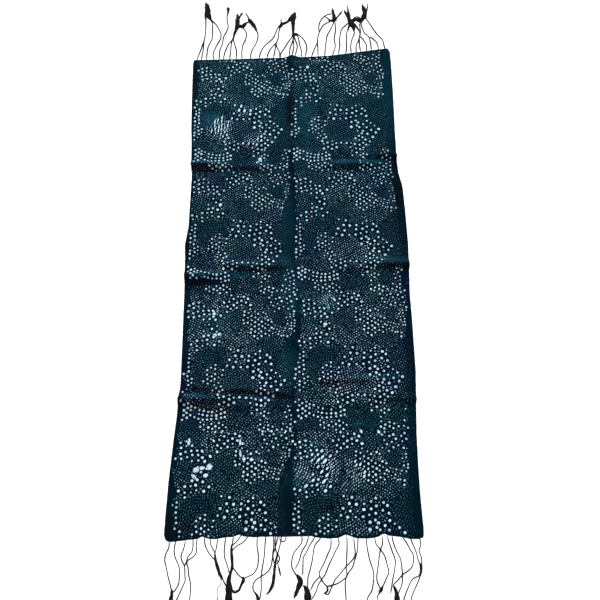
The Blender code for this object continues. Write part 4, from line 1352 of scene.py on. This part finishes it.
class Nodes:
    """A short way to add nodes to one material and to link them."""

    def __init__(self, name):
        self.material = bpy.data.materials.new(name)
        self.material.use_nodes = True
        self.tree = self.material.node_tree

    def put(self, socket, value):
        if isinstance(value, bpy.types.NodeSocket):
            self.tree.links.new(value, socket)
        elif isinstance(value, tuple) and len(value) == 3 and socket.type == "RGBA":
            socket.default_value = (*value, 1.0)
        else:
            socket.default_value = value

    def add(self, kind, values, output=0, **settings):
        """Adds a node with its settings and inputs, and returns one of its outputs."""
        node = self.tree.nodes.new("ShaderNode" + kind)
        for name, setting in settings.items():
            setattr(node, name, setting)
        for key, value in values.items():
            self.put(node.inputs[key], value)
        return node.outputs[output]

    def finish(self, values):
        """Sets the finish itself."""
        for key, value in values.items():
            self.put(self.tree.nodes["Principled BSDF"].inputs[key], value)

    def math(self, operation, *values):
        return self.add("Math", dict(enumerate(values)), operation=operation)

    def times(self, first, second):
        return self.math("MULTIPLY", first, second)

    def stretch(self, value, low, high, to_low=0.0, to_high=1.0, way="SMOOTHSTEP"):
        values = dict(enumerate((value, low, high, to_low, to_high)))
        return self.add("MapRange", values, interpolation_type=way)

    def mix(self, share, first, second):
        """A mix of two colours. The node's colour inputs are numbers 6 and 7, and its output is number 2."""
        return self.add("Mix", {0: share, 6: first, 7: second}, 2, data_type="RGBA")

    def attribute(self, name, output):
        return self.add("Attribute", {}, output, attribute_name=name)

    def separate(self, vector):
        return self.add("SeparateXYZ", {0: vector}).node.outputs

    def place(self):
        return self.add("TexCoord", {}, "Object")

    def scaled(self, vector, scale):
        return self.add("Mapping", {"Vector": vector, "Scale": scale})

    def noise(self, vector, scale, detail=2.0, rough=0.5):
        values = {"Vector": vector, "Scale": scale, "Detail": detail, "Roughness": rough}
        return self.add("TexNoise", values, "Fac")

    def bump(self, height, strength, distance, **below):
        return self.add("Bump", {"Strength": strength, "Distance": distance, "Height": height, **below})


def weave_height(n, where):
    """The height of a plain weave: threads across and along that pass over each other in turn."""
    x, y, _ = n.separate(where)
    across, along = (n.math("SINE", n.times(place, math.pi / THREAD_PITCH)) for place in (x, y))
    return n.times(across, along)


def dot_mask(n, where, across, along):
    """1 inside a dot and 0 outside it, with the dot's own soft and ragged edge."""
    length = n.math("SQRT", n.math("ADD", n.times(across, across), n.times(along, along)))
    ragged = n.times(n.math("SUBTRACT", n.noise(where, *RAG_NOISE), 0.5), DOT_RAG)
    soft = n.attribute("soft", "Fac")
    inner = n.math("SUBTRACT", 1.0, soft)
    outer = n.math("ADD", 1.0, soft)
    return n.stretch(n.math("ADD", length, ragged), inner, outer, 1.0, 0.0)


def layered(n, where, colour, layers):
    """A colour with uneven layers over it, each showing through its own noise."""
    for layer in layers:
        noise = n.noise(n.scaled(where, layer.squeeze), layer.scale, layer.detail, layer.rough)
        shows = n.times(n.stretch(noise, layer.low, layer.high), layer.share)
        colour = n.mix(shows, colour, layer.colour)
    return colour


def dyed_ground(n, where, y, dark, brown, faded_and_painted_highlight):
    """The dye under the print: mottled, streaked along the threads, marked with painted shade and painted
    highlights along the folds and with stains elsewhere, and darker along the side edges.
    """
    ground = layered(n, where, NAVY, DYE_LAYERS)
    ground = n.mix(n.stretch(y, *FAR_TEAL_RANGE), ground, FAR_TEAL)
    ground = n.mix(n.stretch(y, *NEAR_TEAL_RANGE), ground, NEAR_TEAL)
    plum = n.noise(n.scaled(where, PLUM_SQUEEZE), *PLUM_NOISE)
    ground = n.mix(n.stretch(plum, *PLUM_RANGE), ground, PLUM)
    # The pale marks: painted highlights along the fold crests, and faded dye elsewhere
    ground = n.mix(faded_and_painted_highlight, ground, FADED_AND_HIGHLIGHT_TEAL)
    # The dark marks in black or brown: painted shade along the folds, and stains elsewhere
    ground = n.mix(n.times(dark, FOLD_SHARE), ground, n.mix(brown, FOLD_BLACK, FOLD_BROWN))
    return n.mix(n.stretch(n.attribute("side", "Fac"), *SIDE_LINE_RANGE), ground, FOLD_BLACK)


def cloth_relief(n, where, weave):
    """Small rumples, uneven threads and the weave, as bumps."""
    rumple = n.noise(n.scaled(where, RUMPLE_SQUEEZE), *RUMPLE_NOISE)
    thread = n.noise(n.scaled(where, THREAD_SQUEEZE), *THREAD_NOISE)
    relief = n.bump(thread, *THREAD_BUMP, Normal=n.bump(rumple, *RUMPLE_BUMP))
    return n.bump(weave, *WEAVE_BUMP, Normal=relief)


def dyed_cloth():
    """Indigo cotton, mottled from navy to teal, with pale resist dots whose edges bled a little."""
    n = Nodes("dyed_cotton")
    where = n.place()
    _, y, _ = n.separate(where)
    across, along, tone = n.separate(n.attribute("dot", "Vector"))
    # The marks: painted shade and painted highlights along the folds, and stains elsewhere
    dark, brown, faded_and_painted_highlight = n.separate(n.attribute("painted_fold_shading_and_stains", "Vector"))
    weave = weave_height(n, where)

    cloudy = n.stretch(n.noise(where, *CLOUDY_NOISE), *CLOUDY_RANGE)
    # Dots dim under the dark marks that are not brown: painted shadow deep in the folds
    painted_fold_shadow = n.times(dark, n.math("SUBTRACT", 1.0, brown))
    outside_painted_shadow = n.stretch(painted_fold_shadow, *PAINTED_SHADOW_DOT_RANGE, "LINEAR")
    strength = n.times(n.times(n.times(dot_mask(n, where, across, along), tone), cloudy), outside_painted_shadow)
    far = n.stretch(y, *FAR_PALE_RANGE)
    washed = n.mix(far, WASHED, FAR_WASHED)
    pale = n.mix(n.stretch(tone, *PALE_TONE_RANGE), washed, n.mix(far, PALE, FAR_PALE))
    colour = n.mix(strength, dyed_ground(n, where, y, dark, brown, faded_and_painted_highlight), pale)
    n.finish({
        # Darker where the weave is low: painted shade between the threads
        "Base Color": n.mix(n.stretch(weave, *WEAVE_GAP_SHADE_RANGE), colour, DEEP),
        "Roughness": n.stretch(n.noise(where, *ROUGH_NOISE), *CLOTH_ROUGH_RANGE),
        "Specular IOR Level": 0.01,
        "Specular Tint": (0.25, 0.65, 1.0),
        "Sheen Weight": 0.003,
        "Sheen Roughness": 0.45,
        "Sheen Tint": (0.55, 0.80, 1.0),
        "Normal": cloth_relief(n, where, weave),
    })
    return n.material


def fringe_yarn():
    """Dark brown-black cotton yarn, a little different in each strand."""
    n = Nodes("dark_yarn")
    where = n.place()
    brown = n.mix(n.attribute("tone", "Fac"), YARN_BLACK, YARN_BROWN)
    brown = layered(n, where, brown, YARN_LAYERS)
    hairs = n.stretch(n.noise(where, *HAIR_NOISE), *HAIR_RANGE)
    n.finish({
        "Base Color": n.mix(n.times(hairs, HAIR_SHARE), brown, YARN_HAIRS),
        "Roughness": n.stretch(hairs, *YARN_ROUGH_RANGE),
        "Specular IOR Level": 0.08,
        "Sheen Weight": 0.02,
        "Sheen Roughness": 0.5,
        "Normal": n.bump(n.noise(where, *FIBRE_NOISE), *FIBRE_BUMP),
    })
    return n.material


def pale_floor():
    n = Nodes("pale_floor")
    n.finish({"Base Color": (0.90, 0.90, 0.90), "Roughness": 0.9, "Specular IOR Level": 0.1})
    return n.material


def add_floor():
    mesh = bpy.data.meshes.new("floor")
    half = FLOOR_HALF
    corners = [(-half, -half), (half, -half), (half, half), (-half, half)]
    mesh.from_pydata([(x, y, FLOOR_DROP) for x, y in corners], [], [(0, 1, 2, 3)])
    mesh.materials.append(pale_floor())
    floor = linked("floor", mesh)
    return floor


def light_only(lamp, where, lit):
    """Puts a lamp at a place, turned to the middle of the cloth, to light only the things named."""
    made = linked(lamp.name, lamp)
    made.location = where
    made.rotation_euler = (-Vector(where)).to_track_quat("-Z", "Y").to_euler()
    receivers = bpy.data.collections.new(lamp.name + "_lit")
    for thing in lit:
        receivers.objects.link(thing)
    made.light_linking.receiver_collection = receivers


def add_light(parts, floor):
    """A pale sky all round, a soft key light from beyond the far end, and a light over the floor."""
    world = bpy.data.worlds.new("pale_sky")
    bpy.context.scene.world = world
    world.use_nodes = True
    sky = world.node_tree.nodes["Background"]
    sky.inputs["Color"].default_value = SKY_COLOUR
    sky.inputs["Strength"].default_value = SKY_STRENGTH
    key = bpy.data.lights.new("key", "SUN")
    key.angle = math.radians(KEY_SPREAD)
    key.energy = KEY_POWER
    key.color = KEY_COLOUR
    light_only(key, KEY_PLACE, parts)
    for row, lit in zip(AREA_LAMPS, (parts, [floor])):
        lamp = bpy.data.lights.new(row.name, "AREA")
        lamp.size = row.size
        lamp.energy = row.power
        lamp.color = row.colour
        light_only(lamp, row.place, lit)


def add_camera():
    down = math.radians(CAMERA_DOWN)
    turn = math.radians(CAMERA_TURN)
    ahead = Vector((math.sin(turn) * math.cos(down), math.cos(turn) * math.cos(down), -math.sin(down)))
    right = Vector((math.cos(turn), -math.sin(turn), 0.0))
    up = right.cross(ahead)
    lens = bpy.data.cameras.new("camera")
    lens.lens = CAMERA_LENS
    lens.sensor_width = CAMERA_SENSOR
    camera = linked("camera", lens)
    turned = Matrix((right, up, -ahead)).transposed().to_4x4()
    camera.matrix_world = Matrix.Translation(CAMERA_PLACE) @ turned
    bpy.context.scene.camera = camera


def add_piece(name, mesh, material, node):
    mesh.materials.append(material)
    piece = linked(name, mesh)
    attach(piece, "root")
    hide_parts(node)
    return piece


yarn_material = fringe_yarn()
cloth = add_piece("cloth_sheet", cloth_mesh(), dyed_cloth(), "cloth")
far_mesh = fringe_mesh("fringe_far_yarns", FAR_YARNS, FAR_LOCKS, FAR_SEED)
far_fringe = add_piece("fringe_far_yarns", far_mesh, yarn_material, "fringe_far")
near_mesh = fringe_mesh("fringe_near_yarns", NEAR_YARNS, NEAR_LOCKS, NEAR_SEED)
near_fringe = add_piece("fringe_near_yarns", near_mesh, yarn_material, "fringe_near")
add_light([cloth, far_fringe, near_fringe], add_floor())
add_camera()
bpy.context.scene.view_settings.view_transform = "Standard"
